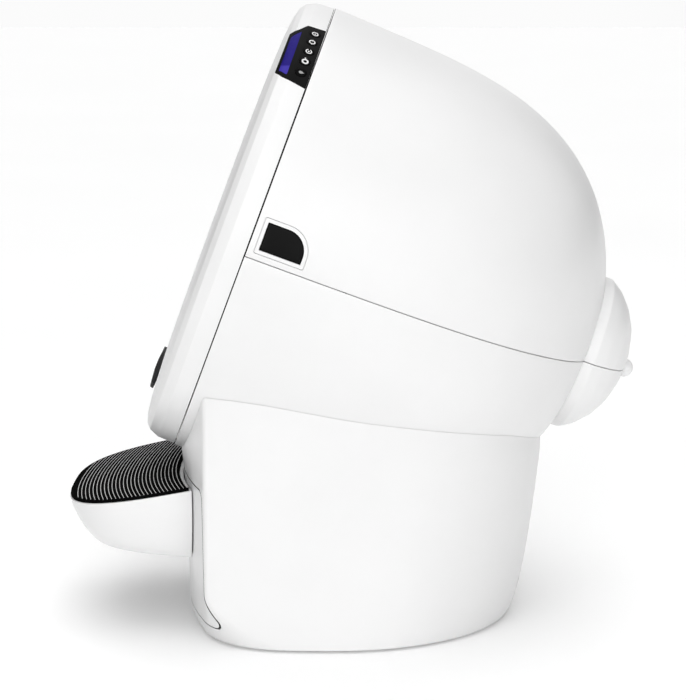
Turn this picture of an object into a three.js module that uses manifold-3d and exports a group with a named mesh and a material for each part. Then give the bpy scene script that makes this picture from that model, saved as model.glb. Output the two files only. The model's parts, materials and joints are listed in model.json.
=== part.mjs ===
// A self-cleaning hooded cat litter box: a tilted rotating globe inside a fixed bezel, a lower
// housing on a pedestal and a lift-up bonnet, with a waste drawer and a step at the front.
// Millimetres, +Z up. The front faces -Y. The origin is on the floor, under the middle of the box
// that holds the whole object.
import * as THREE from "three";
import { mergeVertices } from "three/addons/utils/BufferGeometryUtils.js";
import Module from "manifold-3d";

const wasm = await Module();
wasm.setup();

// ---------------------------------------------------------------- driving dimensions
const GAP = 0.4; // between neighbouring pieces
const TILT = THREE.MathUtils.degToRad(20.5); // the globe's axis falls this much to the rear
const AXIS_Y = -123.2; // where the axis leaves the rear plane of the bezel
const AXIS_Z = 473.5;

const HOUSING_R = 290; // radius of bonnet and lower housing, in the direction across the seam
const WIDE_RATIO = 300 / 290; // the housing is this much wider than it is tall
const WIDE_FROM_R = 200; // the widening starts at this radius, so hub, globe and entry stay round
const LOW_RATIO = 0.97; // under the seam the front of the housing is this much shallower
const LOW_REACH = 200; // how far to the rear that goes, fading out
const DOME_LENGTH = 443; // from the bezel plane to where the dome would close
const DOME_TAPER = 0.05;
const DOME_END = 435.5; // the dome stops here, at the hub
const WALL = 4;

const ENTRY_R = 198;
const BEZEL_FRONT = 48;
const PANEL_FROM = 41.9; // degrees above the seam
const PANEL_TO = 64.6;

const GLOBE_R = 250.5;
const GLOBE_MOUTH_R = 203;
const GLOBE_FRONT = 6;
const GLOBE_WIDEST = 115;
const GLOBE_REAR = 410;
const GLOBE_WALL = 3.5;

const MODULE = 6.5; // of the gear pair
const RING_TEETH = 80;
const PINION_TEETH = 10;
const MESH_CLEARANCE = 0.8;
const PINION_ANGLE = -128; // degrees, seen from the front, from +X
const GEAR_FRONT = 105;
const GEAR_WIDTH = 18;

const ROLLER_R = 12;
const ROLLER_ANGLES = { right: -55, left: -125 };
const ROLLER_FRONT = 72;
const ROLLER_WIDTH = 14;

const AXLE_R = 9;
const AXLE_END_R = 11.5;
const AXLE_END = 494; // centre of the round end, and line of the bonnet's hinge
const HUB_FLANGE = 436.2;
const HUB_SKIRT = 429.6; // the hub cover's rim reaches forward to here, close to the dome
const HUB_R = 98.5;

const BASE_BOTTOM = 3;
const BASE_TOP = 330; // cut back to the housing
const BASE_MID_Y = -22.7; // the widest section of the base
const CORNER_Y = -174.7; // where the front meets the sides
const DRAWER_BOTTOM = 24;
const DRAWER_TOP = 190;
const DRAWER_HALF = 222;

const STEP_HALF = 174.5;
const STEP_SQUARE = 3; // exponent of the step's outline: 2 is an ellipse
const STEP_REAR_Y = -195.1;
const STEP_TIP_Y = -351;
const STEP_TIP_Z = 156.4;
const STEP_SLOPE = Math.tan(THREE.MathUtils.degToRad(10.45));
const STEP_REAR_BOTTOM_Z = 96.6;
const STEP_TIP_BOTTOM_Z = 107.4;
const HULL_FLOOR = 0.84; // size of the hull's bottom edge, as a share of the step's outline
const HULL_BULGE = 1.35; // exponent of the hull's side: 2 is a quarter ellipse
const MAT_THICK = 4;

// ---------------------------------------------------------------- materials
const finish = (color, roughness, metalness = 0) =>
  new THREE.MeshStandardMaterial({ color, roughness, metalness });
const WHITE = finish(0xf2f2f0, 0.35);
const LIGHT_GREY = finish(0xcfd1d2, 0.45);
const BLACK = finish(0x17171a, 0.4);
const RUBBER = finish(0x1b1b1c, 0.85);
const GREY = finish(0x77797c, 0.6);
const INDIGO = finish(0x2a1f9a, 0.2);
const STEEL = finish(0xb9bcc0, 0.3, 1);
const GREEN = finish(0x2c6a3a, 0.5);
const CHARCOAL = finish(0x2b2b2b, 0.95);

// ---------------------------------------------------------------- solids
// A closed geometry as a solid whose faces point outwards.
function solid(geometry) {
  const bare = new THREE.BufferGeometry();
  const flat = geometry.index ? geometry.toNonIndexed() : geometry;
  bare.setAttribute("position", flat.getAttribute("position"));
  const merged = mergeVertices(bare, 1e-3);
  const vertProperties = merged.attributes.position.array;
  const triVerts = new Uint32Array(merged.index.array);
  const build = () =>
    new wasm.Manifold(new wasm.Mesh({ numProp: 3, vertProperties, triVerts }));
  const made = build();
  if (made.volume() > 0) return made;
  for (let i = 0; i < triVerts.length; i += 3)
    [triVerts[i + 1], triVerts[i + 2]] = [triVerts[i + 2], triVerts[i + 1]];
  return build();
}

// A solid as a geometry again.
function geometryOf(made) {
  const { vertProperties, triVerts, numProp } = made.getMesh();
  const count = vertProperties.length / numProp;
  const position = new Float32Array(count * 3);
  for (let i = 0; i < count; i++)
    position.set(vertProperties.subarray(i * numProp, i * numProp + 3), i * 3);
  const geometry = new THREE.BufferGeometry();
  geometry.setAttribute("position", new THREE.BufferAttribute(position, 3));
  geometry.setIndex(new THREE.BufferAttribute(triVerts, 1));
  geometry.computeVertexNormals();
  return geometry;
}

// Moves every vertex of a geometry by a function of its place.
function warp(geometry, move) {
  const position = geometry.getAttribute("position");
  const point = new THREE.Vector3();
  for (let i = 0; i < position.count; i++) {
    move(point.fromBufferAttribute(position, i));
    position.setXYZ(i, point.x, point.y, point.z);
  }
  return geometry;
}

const union = (...made) => made.reduce((a, b) => a.add(b));

function box(x0, x1, y0, y1, z0, z1) {
  const geometry = new THREE.BoxGeometry(x1 - x0, y1 - y0, z1 - z0);
  geometry.translate((x0 + x1) / 2, (y0 + y1) / 2, (z0 + z1) / 2);
  return solid(geometry);
}

// A round bar between two points.
function rod(from, to, radius, segments = 18) {
  const a = new THREE.Vector3(...from);
  const b = new THREE.Vector3(...to);
  const along = b.clone().sub(a);
  const geometry = new THREE.CylinderGeometry(
    radius,
    radius,
    along.length(),
    segments,
  );
  geometry.applyQuaternion(
    new THREE.Quaternion().setFromUnitVectors(
      new THREE.Vector3(0, 1, 0),
      along.clone().normalize(),
    ),
  );
  const middle = a.add(b).multiplyScalar(0.5);
  geometry.translate(middle.x, middle.y, middle.z);
  return solid(geometry);
}

// A flat outline in X and Y, extruded from z0 to z1.
function prism(points, z0, z1, holes = []) {
  const shape = new THREE.Shape(points.map(([x, y]) => new THREE.Vector2(x, y)));
  for (const hole of holes)
    shape.holes.push(
      new THREE.Path(hole.map(([x, y]) => new THREE.Vector2(x, y))),
    );
  const geometry = new THREE.ExtrudeGeometry(shape, {
    depth: z1 - z0,
    bevelEnabled: false,
  });
  geometry.translate(0, 0, z0);
  return solid(geometry);
}

// A body through a stack of outlines that all have the same number of points.
function loft(outlines) {
  const around = outlines[0].length;
  const levels = outlines.length - 1;
  const geometry = new THREE.CylinderGeometry(1, 1, levels, around, levels);
  const centres = outlines.map((outline) =>
    outline
      .reduce((sum, p) => sum.add(p), new THREE.Vector3())
      .divideScalar(around),
  );
  warp(geometry, (p) => {
    const level = Math.round(p.y + levels / 2);
    const turn = Math.atan2(p.x, p.z) / (2 * Math.PI);
    const index = (Math.round(turn * around) + around) % around;
    const onAxis = Math.hypot(p.x, p.z) < 0.5;
    p.copy(onAxis ? centres[level] : outlines[level][index]);
  });
  return solid(geometry);
}

// ---------------------------------------------------------------- the tilted frame
// Housing, bezel and globe are bodies of revolution about the tilted axis. In this frame x is the
// object's +X, y points up and to the rear across the seam, and z points forward along the axis.
// A profile is a list of [u, r]: the distance behind the bezel plane, and the radius.
const tilted = new THREE.Group();
tilted.position.set(0, AXIS_Y, AXIS_Z);
tilted.rotation.x = Math.PI / 2 - TILT;

const AROUND = 48;

function revolve(profile, segments = AROUND) {
  const points = profile.map(([u, r]) => new THREE.Vector2(r, -u));
  const [first, last] = [points[0], points[points.length - 1]];
  if (first.x > 0 && last.x > 0) points.push(first.clone());
  const geometry = new THREE.LatheGeometry(points, segments);
  geometry.rotateY(Math.PI / 2 - Math.PI / segments);
  geometry.rotateX(Math.PI / 2);
  return geometry;
}

// Widens the housing along x, and flattens the front of its underside, more and more towards its
// full radius.
function widen(geometry) {
  const { clamp } = THREE.MathUtils;
  return warp(geometry, (p) => {
    const r = Math.hypot(p.x, p.y);
    const share = clamp((r - WIDE_FROM_R) / (HOUSING_R - WIDE_FROM_R), 0, 1);
    p.x *= 1 + (WIDE_RATIO - 1) * share;
    const front = clamp((LOW_REACH + p.z) / LOW_REACH, 0, 1);
    if (p.y < 0) p.y *= 1 + (LOW_RATIO - 1) * share * front;
  });
}

const polar = (radius, degrees) => {
  const angle = THREE.MathUtils.degToRad(degrees);
  return [radius * Math.cos(angle), radius * Math.sin(angle)];
};

const REACH = 400; // further out than any piece

// A slice of pie between two angles, all along the axis.
function slice(from, to) {
  const steps = Math.max(1, Math.ceil((to - from) / 30));
  const rim = [];
  for (let i = 0; i <= steps; i++)
    rim.push(polar(REACH, from + ((to - from) * i) / steps));
  return prism([[0, 0], ...rim], -600, 200);
}

// A box in the tilted frame, turned about the axis: radial, tangential and axial spans.
function turnedBox(degrees, r0, r1, side, u0, u1) {
  const geometry = new THREE.BoxGeometry(r1 - r0, 2 * side, u1 - u0);
  geometry.translate((r0 + r1) / 2, 0, -(u0 + u1) / 2);
  geometry.rotateZ(THREE.MathUtils.degToRad(degrees));
  return solid(geometry);
}

const upperSide = box(-REACH, REACH, GAP, REACH, -700, 200);
const lowerSide = box(-REACH, REACH, -REACH, -GAP, -700, 200);

const root = new THREE.Group();
root.add(tilted);

function add(name, made, material, group = root) {
  const mesh = new THREE.Mesh(geometryOf(made), material);
  mesh.name = name;
  group.add(mesh);
}

// ---------------------------------------------------------------- housing: bonnet and tub
function domeRadius(u) {
  const t = Math.min(u / DOME_LENGTH, 1);
  return HOUSING_R * (1 - DOME_TAPER * t) * Math.sqrt(1 - t ** 4);
}

const DOME_STATIONS = [
  0.4, 120, 200, 260, 310, 350, 380, 404, 422, DOME_END,
];

// The housing's outer profile from the bezel plane to the hub, moved outwards by some amount.
const domeProfile = (outwards) =>
  DOME_STATIONS.map((u) => [
    u + (outwards * u ** 3) / DOME_LENGTH ** 3,
    domeRadius(u) + outwards,
  ]);

const housingShell = solid(
  widen(revolve([...domeProfile(0), ...domeProfile(-WALL).reverse()])),
);
// Everything inside the housing, and in front of it as far as the bezel goes.
const housingVolume = (outwards) =>
  solid(
    widen(
      revolve([
        [-90, 0],
        [-90, HOUSING_R + outwards],
        ...domeProfile(outwards),
        [DOME_END + 8, 40],
        [DOME_END + 8, 0],
      ]),
    ),
  );

// Release tab: a quarter-round plate in the bonnet's side, just above the seam.
const TAB_FRONT = 13;
const TAB_REAR = 61;
const TAB_LOW = 12.5;
const TAB_HIGH = 44;
const TAB_CORNER = 24;
function tabOutline(outwards) {
  const outline = [
    [TAB_LOW - outwards, -TAB_FRONT + outwards],
    [TAB_LOW - outwards, -TAB_REAR - outwards],
  ];
  for (let i = 0; i <= 6; i++) {
    const [c, s] = polar(TAB_CORNER + outwards, 15 * i);
    outline.push([TAB_HIGH - TAB_CORNER + s, -TAB_REAR + TAB_CORNER - c]);
  }
  outline.push([TAB_HIGH + outwards, -TAB_FRONT + outwards]);
  return outline;
}
function tabPrism(side, outwards, x0, x1) {
  const shape = new THREE.Shape(
    tabOutline(outwards).map(([v, w]) => new THREE.Vector2(v, w)),
  );
  const geometry = new THREE.ExtrudeGeometry(shape, {
    depth: x1 - x0,
    bevelEnabled: false,
  });
  warp(geometry, (p) => p.set(side * (x0 + p.z), p.x, p.y));
  return solid(geometry);
}

let bonnetShell = housingShell.intersect(upperSide);
for (const side of [1, -1])
  bonnetShell = bonnetShell.subtract(tabPrism(side, 0.6, 270, 320));
add("bonnet_shell", bonnetShell, WHITE, tilted);

const insideBonnet = housingVolume(-0.6);
add("release_tab_right", tabPrism(1, 0, 287, 320).intersect(insideBonnet), BLACK, tilted);
add("release_tab_left", tabPrism(-1, 0, 287, 320).intersect(insideBonnet), BLACK, tilted);

// The tub has a chute over the drawer and a window for the drive.
const CHUTE_HALF = 72;
const CHUTE_FROM = 150;
const CHUTE_TO = 285;
const chute = box(
  -CHUTE_HALF,
  CHUTE_HALF,
  -REACH,
  -150,
  -CHUTE_TO,
  -CHUTE_FROM,
);
const driveWindow = turnedBox(PINION_ANGLE, 230, 340, 42, 92, 160);
add(
  "lower_housing",
  housingShell.intersect(lowerSide).subtract(chute).subtract(driveWindow),
  WHITE,
  tilted,
);

// ---------------------------------------------------------------- rear hub, split by the seam
const hubShell = solid(
  revolve(
    [
      [428, 66.3],
      [HUB_FLANGE, 66.3],
      [HUB_FLANGE, HUB_R - 3.4],
      [HUB_SKIRT, HUB_R - 3],
      [HUB_SKIRT, HUB_R],
      [441, HUB_R - 0.5],
      [456, 88.2],
      [471.4, 71.8],
      [482.6, 52.6],
      [489.9, 28.6],
      [491.6, 12.9],
      [487.6, 12.9],
      [486, 27.5],
      [468, 68.6],
      [440.4, 90],
      [440.4, 62.5],
      [428, 62.5],
    ],
    36,
  ),
);
add("bonnet_hub_cover", hubShell.intersect(upperSide), WHITE, tilted);
add("lower_hub_cover", hubShell.intersect(lowerSide), WHITE, tilted);

// ---------------------------------------------------------------- bezel
const BEZEL_OUTER = [
  [-GAP, 289],
  [-22, 288],
  [-34, 282.5],
  [-40, 275],
  [-43.5, 262],
  [-46, 240],
  [-BEZEL_FRONT, ENTRY_R],
];
const BEZEL_INNER = [
  [-2, ENTRY_R],
  [-2, ENTRY_R + 3],
  [-BEZEL_FRONT + WALL, ENTRY_R + 3],
  [-42, 239],
  [-36.5, 271],
  [-31.5, 278.7],
  [-21, 284],
  [-GAP, 285],
];
const bezelRing = solid(widen(revolve([...BEZEL_OUTER, ...BEZEL_INNER])));

// The band and chamfer of the bezel between two angles, between two depths under the surface.
function bezelBand(from, to, u0, u1, deep, shallow) {
  const inset = (depth) =>
    [
      [u0, 289],
      [-22, 288],
      [-34, 282.5],
      [-40, 275],
    ].map(([u, r], i) => [u + (i > 1 ? depth * 0.7 : 0), r - depth]);
  const ring = solid(
    widen(revolve([...inset(shallow), ...inset(deep).reverse()])),
  );
  return ring
    .intersect(slice(from, to))
    .intersect(box(-REACH, REACH, -REACH, REACH, -u0, -u1));
}

const BUTTON_U = -11.5;
const BUTTON_R = 6.5;
const BUTTON_ANGLES = [60.5, 56.7, 52.8, 49, 45.2];
// The distance from the axis to the bezel's band in some direction.
function bandRadius(degrees) {
  const [c, s] = polar(1, degrees);
  return 1 / Math.hypot(c / (288.5 * WIDE_RATIO), s / 288.5);
}
function buttonRod(degrees, radius, from, to) {
  const base = bandRadius(degrees);
  const [x0, y0] = polar(base + from, degrees);
  const [x1, y1] = polar(base + to, degrees);
  return rod([x0, y0, -BUTTON_U], [x1, y1, -BUTTON_U], radius, 16);
}

let fascia = bezelBand(PANEL_FROM, PANEL_TO, -1.4, -39, 2.6, -0.3);
const windowCut = bezelBand(43.8, 61.2, -26.2, -36.2, 1.4, -2);
fascia = fascia.subtract(windowCut);
for (const degrees of BUTTON_ANGLES)
  fascia = fascia.subtract(buttonRod(degrees, BUTTON_R + 0.5, -8, 8));
add("control_fascia", fascia, BLACK, tilted);
add(
  "display_window",
  bezelBand(44, 61, -26.6, -35.8, 1, -0.2),
  INDIGO,
  tilted,
);
BUTTON_ANGLES.forEach((degrees, i) =>
  add(
    "button_" + (i + 1),
    buttonRod(degrees, BUTTON_R, -7, 0.8),
    GREY,
    tilted,
  ),
);

let bezel = bezelRing.subtract(
  bezelBand(PANEL_FROM - 0.15, PANEL_TO + 0.15, -1, -39.6, 3, -4),
);
for (const degrees of BUTTON_ANGLES)
  bezel = bezel.subtract(buttonRod(degrees, BUTTON_R + 0.5, -9, 8));
add("bezel", bezel, WHITE, tilted);
add(
  "button_board",
  turnedBox((PANEL_FROM + PANEL_TO) / 2, 262, 264, 46, -19, -4),
  GREEN,
  tilted,
);

// Black lip below the entry: a lens between the entry's round and a second one under it.
const lens = rod([0, -348, 40], [0, -348, 70], 170, 60);
add(
  "entry_guard",
  solid(
    revolve([
      [-BEZEL_FRONT - 0.6, 227],
      [-53.5, 226],
      [-55.8, 208],
      [-56.2, 192],
      [-54.7, 178],
      [-50.5, 178],
      [-50, 194],
      [-BEZEL_FRONT - 0.6, 200],
    ]),
  )
    .intersect(slice(-160, -20))
    .intersect(lens),
  RUBBER,
  tilted,
);

// Soft seal between the bezel's collar and the turning globe.
add(
  "entry_seal",
  solid(
    revolve([
      [-1.4, ENTRY_R + 0.5],
      [4, ENTRY_R + 0.5],
      [4, ENTRY_R + 6],
      [-1.4, ENTRY_R + 6],
    ]),
  ),
  RUBBER,
  tilted,
);

// ---------------------------------------------------------------- globe
function globeRadius(u) {
  if (u >= GLOBE_WIDEST) {
    const t = (u - GLOBE_WIDEST) / (GLOBE_REAR - GLOBE_WIDEST);
    return GLOBE_R * Math.sqrt(Math.max(0, 1 - t * t));
  }
  const t = (GLOBE_WIDEST - u) / (GLOBE_WIDEST - GLOBE_FRONT);
  return GLOBE_MOUTH_R + (GLOBE_R - GLOBE_MOUTH_R) * Math.sqrt(1 - t * t);
}
function globeProfile(stations, inwards) {
  return stations.map((u) => [
    u + (u > GLOBE_WIDEST ? -inwards * ((u - GLOBE_WIDEST) / 295) ** 3 : 0),
    Math.max(0, globeRadius(u) - inwards),
  ]);
}
const GLOBE_SEGMENTS = 40;
const FRONT_STATIONS = [6, 10, 22, 44, 78, 129.8];
const REAR_STATIONS = [130.2, 200, 260, 310, 350, 382, 402, 410];
add(
  "globe_front_shell",
  solid(
    revolve(
      [
        ...globeProfile(FRONT_STATIONS, 0),
        ...globeProfile(FRONT_STATIONS, GLOBE_WALL).reverse(),
      ],
      GLOBE_SEGMENTS,
    ),
  ),
  LIGHT_GREY,
  tilted,
);
const port = box(-60, 60, 120, REACH, -275, -165);
add(
  "globe_rear_shell",
  solid(
    revolve(
      [
        ...globeProfile(REAR_STATIONS, 0),
        ...globeProfile(REAR_STATIONS, GLOBE_WALL).reverse(),
      ],
      GLOBE_SEGMENTS,
    ),
  ).subtract(port),
  LIGHT_GREY,
  tilted,
);

// Liner under the litter, in the lowest part of the globe at rest.
const LINER_STATIONS = [78, 129.8, 200, 260, 310];
add(
  "litter_liner",
  solid(
    revolve(
      [
        ...globeProfile(LINER_STATIONS, GLOBE_WALL + 0.5),
        ...globeProfile(LINER_STATIONS, GLOBE_WALL + 3.5).reverse(),
      ],
      GLOBE_SEGMENTS,
    ),
  ).intersect(slice(-145, -35)),
  RUBBER,
  tilted,
);

// Sifting screen: a slotted plate across the upper part of the globe, under the waste port.
let screen = box(-144, 144, 118, 121.5, -295, -95);
for (let row = -4; row <= 4; row++)
  screen = screen.subtract(
    box(row * 29 - 9, row * 29 + 9, 110, 130, -280, -110),
  );
add("sifting_screen", screen, GREY, tilted);

// ---------------------------------------------------------------- gear pair
// A spur gear's outline with straight-sided teeth, thin enough to leave backlash.
function gearOutline(teeth, phase) {
  const pitchR = (MODULE * teeth) / 2;
  const outline = [];
  for (let i = 0; i < teeth; i++) {
    const middle = phase + (2 * Math.PI * i) / teeth;
    const corners = [
      [pitchR - 1 * MODULE, -0.92],
      [pitchR + 0.8 * MODULE, -0.36],
      [pitchR + 0.8 * MODULE, 0.36],
      [pitchR - 1 * MODULE, 0.92],
    ];
    for (const [radius, side] of corners) {
      const angle = middle + (side * MODULE) / radius;
      outline.push([radius * Math.cos(angle), radius * Math.sin(angle)]);
    }
  }
  return outline;
}
const circle = (radius, count) =>
  Array.from({ length: count }, (_, i) => polar(radius, (-360 * i) / count));

const pinionTurn = THREE.MathUtils.degToRad(PINION_ANGLE);
const pinionDistance =
  (MODULE * (RING_TEETH + PINION_TEETH)) / 2 + MESH_CLEARANCE;
const [PINION_X, PINION_V] = polar(pinionDistance, PINION_ANGLE);

// The ring has a tooth on the line to the pinion, and the pinion a space there.
add(
  "ring_gear",
  prism(
    gearOutline(RING_TEETH, pinionTurn),
    -GEAR_FRONT - GEAR_WIDTH,
    -GEAR_FRONT,
    [circle(GLOBE_R + GAP, GLOBE_SEGMENTS)],
  ),
  BLACK,
  tilted,
);
const pinionGeometry = prism(
  gearOutline(PINION_TEETH, pinionTurn + Math.PI + Math.PI / PINION_TEETH),
  -GEAR_FRONT - GEAR_WIDTH - 1,
  -GEAR_FRONT + 1,
);
const movedBy = (made, x, y, z) => {
  const geometry = geometryOf(made);
  geometry.translate(x, y, z);
  return solid(geometry);
};
add(
  "pinion",
  union(
    movedBy(pinionGeometry, PINION_X, PINION_V, 0),
    rod([PINION_X, PINION_V, -100], [PINION_X, PINION_V, -140], 5),
  ),
  STEEL,
  tilted,
);

// Gearbox and motor sit outside the tub, under its drive window.
const GEARBOX_FRONT = 127;
const GEARBOX_REAR = 152;
const MOTOR_R = 26;
const [MOTOR_X, MOTOR_V] = polar(pinionDistance + 34, PINION_ANGLE);
add(
  "gearbox",
  turnedBox(
    PINION_ANGLE,
    pinionDistance - 16,
    pinionDistance + 60,
    27,
    GEARBOX_FRONT,
    GEARBOX_REAR,
  ).subtract(rod([PINION_X, PINION_V, -100], [PINION_X, PINION_V, -141], 5.3)),
  GREY,
  tilted,
);
add(
  "motor",
  rod(
    [MOTOR_X, MOTOR_V, -GEARBOX_REAR - GAP],
    [MOTOR_X, MOTOR_V, -GEARBOX_REAR - 70],
    MOTOR_R,
  ),
  STEEL,
  tilted,
);

// ---------------------------------------------------------------- support rollers
const rollerDistance =
  globeRadius(ROLLER_FRONT + ROLLER_WIDTH) + ROLLER_R + 0.6;
const insideHousing = housingVolume(-WALL - GAP);
for (const [side, degrees] of Object.entries(ROLLER_ANGLES)) {
  const [x, v] = polar(rollerDistance, degrees);
  const front = -ROLLER_FRONT;
  const rear = front - ROLLER_WIDTH;
  add(
    "roller_" + side,
    union(
      rod([x, v, front], [x, v, rear], ROLLER_R),
      rod([x, v, front + 5], [x, v, rear - 5], 3, 16),
    ),
    RUBBER,
    tilted,
  );
  const block = turnedBox(
    degrees,
    rollerDistance - 5,
    310,
    13,
    ROLLER_FRONT - 5.5,
    ROLLER_FRONT + ROLLER_WIDTH + 5.5,
  );
  const room = turnedBox(
    degrees,
    200,
    rollerDistance + ROLLER_R + 1.5,
    20,
    ROLLER_FRONT - 1,
    ROLLER_FRONT + ROLLER_WIDTH + 1,
  );
  add(
    "roller_bracket_" + side,
    block
      .subtract(room)
      .subtract(rod([x, v, 0], [x, v, -120], 3.3, 16))
      .intersect(insideHousing),
    GREY,
    tilted,
  );
}

// ---------------------------------------------------------------- axle and its bearing
add(
  "globe_axle",
  solid(
    revolve(
      [
        [GLOBE_REAR + GAP, 0],
        [GLOBE_REAR + GAP, 32],
        [GLOBE_REAR + 4, 32],
        [GLOBE_REAR + 4, AXLE_R],
        [AXLE_END - 12.5, AXLE_R],
        [AXLE_END - 12.5, 0],
      ],
      24,
    ),
  ),
  STEEL,
  tilted,
);
const axleEnd = [[AXLE_END - 12, 0], [AXLE_END - 12, AXLE_R]];
for (let i = 0; i <= 5; i++) {
  const [c, s] = polar(AXLE_END_R, 130 - 26 * i);
  axleEnd.push([AXLE_END + c, i < 5 ? s : 0]);
}
add("axle_end_cap", solid(revolve(axleEnd, 20)), WHITE, tilted);
add(
  "axle_bearing_block",
  union(
    rod([0, 0, -446], [0, 0, -466], 17),
    box(-24, 24, -64, -10, -464, -448),
  ).subtract(rod([0, 0, -430], [0, 0, -480], AXLE_R + 0.3)),
  GREY,
  tilted,
);
add(
  "position_magnet",
  turnedBox(80, GLOBE_R + 0.6, GLOBE_R + 4.2, 5, 88, 98),
  STEEL,
  tilted,
);
add(
  "position_sensor",
  turnedBox(-80, GLOBE_R + 8, GLOBE_R + 13, 8, 84, 102),
  BLACK,
  tilted,
);

// ---------------------------------------------------------------- pedestal
// Half width, rear reach and front bow of the base at some height.
function baseSize(z) {
  const rise = Math.min(1, Math.max(0, z) / 209) ** 0.55;
  return {
    half: 235 + 15 * rise,
    rear: 217 + 39 * rise,
    square: 2 + 0.45 * rise,
    midY:
      -204.7 -
      8.5 * Math.min(1, z / 209) ** 3 +
      6 * Math.max(0, (20 - z) / 17) ** 2,
    cornerY: CORNER_Y + 23 * Math.max(0, (66 - z) / 63) ** 1.5,
    cornerCut: 5 + 62 * Math.max(0, (66 - z) / 63) ** 1.5,
  };
}
const SIDE_REACH = 419; // the sides bow in towards the front corners along this ellipse

// The base's outline at some height, moved inwards, as points clockwise from the rear.
function baseOutline(z, inwards = 0) {
  const size = baseSize(z);
  const half = size.half - inwards;
  const rear = size.rear - inwards;
  const midY = size.midY + inwards;
  const cornerY = size.cornerY + inwards;
  const cut = Math.max(1, size.cornerCut - inwards);
  const sideX = (y) =>
    half * Math.sqrt(1 - ((y - BASE_MID_Y) / SIDE_REACH) ** 2);
  const cornerX = sideX(cornerY);
  const frontY = (x) => midY + (cornerY - midY) * (x / cornerX) ** 2;
  const rightHalf = [];
  for (let i = 0; i <= 9; i++) {
    const [c, s] = polar(1, 90 - 10 * i);
    const x = half * Math.max(0, c) ** (2 / size.square);
    rightHalf.push([x, BASE_MID_Y + rear * s ** (2 / size.square)]);
  }
  for (let i = 1; i <= 3; i++) {
    const y = BASE_MID_Y + ((cornerY + cut - BASE_MID_Y) * i) / 3;
    rightHalf.push([sideX(y), y]);
  }
  const before = [sideX(cornerY + cut), cornerY + cut];
  const after = [cornerX - cut, frontY(cornerX - cut)];
  for (let i = 1; i <= 3; i++) {
    const t = i / 3;
    rightHalf.push(
      [0, 1].map(
        (k) =>
          (1 - t) ** 2 * before[k] +
          2 * t * (1 - t) * [cornerX, cornerY][k] +
          t * t * after[k],
      ),
    );
  }
  for (let i = 1; i <= 5; i++) {
    const x = (cornerX - cut) * (1 - i / 5);
    rightHalf.push([x, frontY(x)]);
  }
  const mirrored = rightHalf
    .slice(1, -1)
    .reverse()
    .map(([x, y]) => [-x, y]);
  return [...rightHalf, ...mirrored].map(([x, y]) => new THREE.Vector3(x, y, z));
}
const BASE_LEVELS = [BASE_BOTTOM, 12, 34, 66, 120, 209, BASE_TOP];
const baseSolid = (inwards, bottom = BASE_BOTTOM) =>
  loft(
    BASE_LEVELS.map((z) => baseOutline(Math.max(z, bottom), inwards)).filter(
      (outline, i, all) => i === 0 || outline[0].z > all[i - 1][0].z,
    ),
  );

const DOOR_CORNER = 12;
function roundedDoor(grow, y0, y1) {
  const [x, z0, z1] = [
    DRAWER_HALF + grow,
    DRAWER_BOTTOM - grow,
    DRAWER_TOP + grow,
  ];
  const r = DOOR_CORNER + grow;
  const outline = [];
  for (const [cx, cz, start] of [
    [x - r, z1 - r, 0],
    [-x + r, z1 - r, 90],
    [-x + r, z0 + r, 180],
    [x - r, z0 + r, 270],
  ])
    for (let i = 0; i <= 3; i++) {
      const [c, s] = polar(r, start + 30 * i);
      outline.push([cx + c, cz + s]);
    }
  const shape = new THREE.Shape(
    outline.map(([a, b]) => new THREE.Vector2(a, b)),
  );
  const geometry = new THREE.ExtrudeGeometry(shape, {
    depth: y1 - y0,
    bevelEnabled: false,
  });
  warp(geometry, (p) => p.set(p.x, y0 + p.z, p.y));
  return solid(geometry);
}

// A solid of the tilted frame, put in the object's frame.
function untilted(made) {
  tilted.updateMatrix();
  const geometry = geometryOf(made);
  geometry.applyMatrix4(tilted.matrix);
  return solid(geometry);
}

const JACK_X = 62;
const JACK_Z = 42;
add(
  "pedestal",
  baseSolid(0)
    .subtract(baseSolid(WALL, BASE_BOTTOM + WALL))
    .subtract(untilted(housingVolume(0.5)))
    .subtract(roundedDoor(0.8, -260, -140))
    .subtract(rod([JACK_X, 150, JACK_Z], [JACK_X, 240, JACK_Z], 6.6)),
  WHITE,
);
add(
  "power_inlet",
  rod([JACK_X, 184, JACK_Z], [JACK_X, 201, JACK_Z], 6.2).subtract(
    rod([JACK_X, 194, JACK_Z], [JACK_X, 210, JACK_Z], 3, 16),
  ),
  BLACK,
);
const FEET = {
  front_right: [150, -120],
  front_left: [-150, -120],
  rear_right: [135, 95],
  rear_left: [-135, 95],
};
for (const [name, [x, y]] of Object.entries(FEET))
  add("foot_" + name, rod([x, y, 0], [x, y, BASE_BOTTOM - 0.3], 16), RUBBER);

for (const [name, side] of [
  ["right", 1],
  ["left", -1],
])
  add(
    "drawer_rail_" + name,
    box(
      ...(side > 0 ? [150, 178] : [-178, -150]),
      -155,
      80,
      BASE_BOTTOM + WALL + GAP,
      27.6,
    ),
    GREY,
  );
add("main_board", box(-110, -20, 115, 165, 7.5, 9.5), GREEN);
add("weight_sensor", rod([110, 125, 7.5], [110, 125, 15], 14), STEEL);
add("carbon_filter", box(-70, 30, 172, 186, 12, 80), CHARCOAL);

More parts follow.
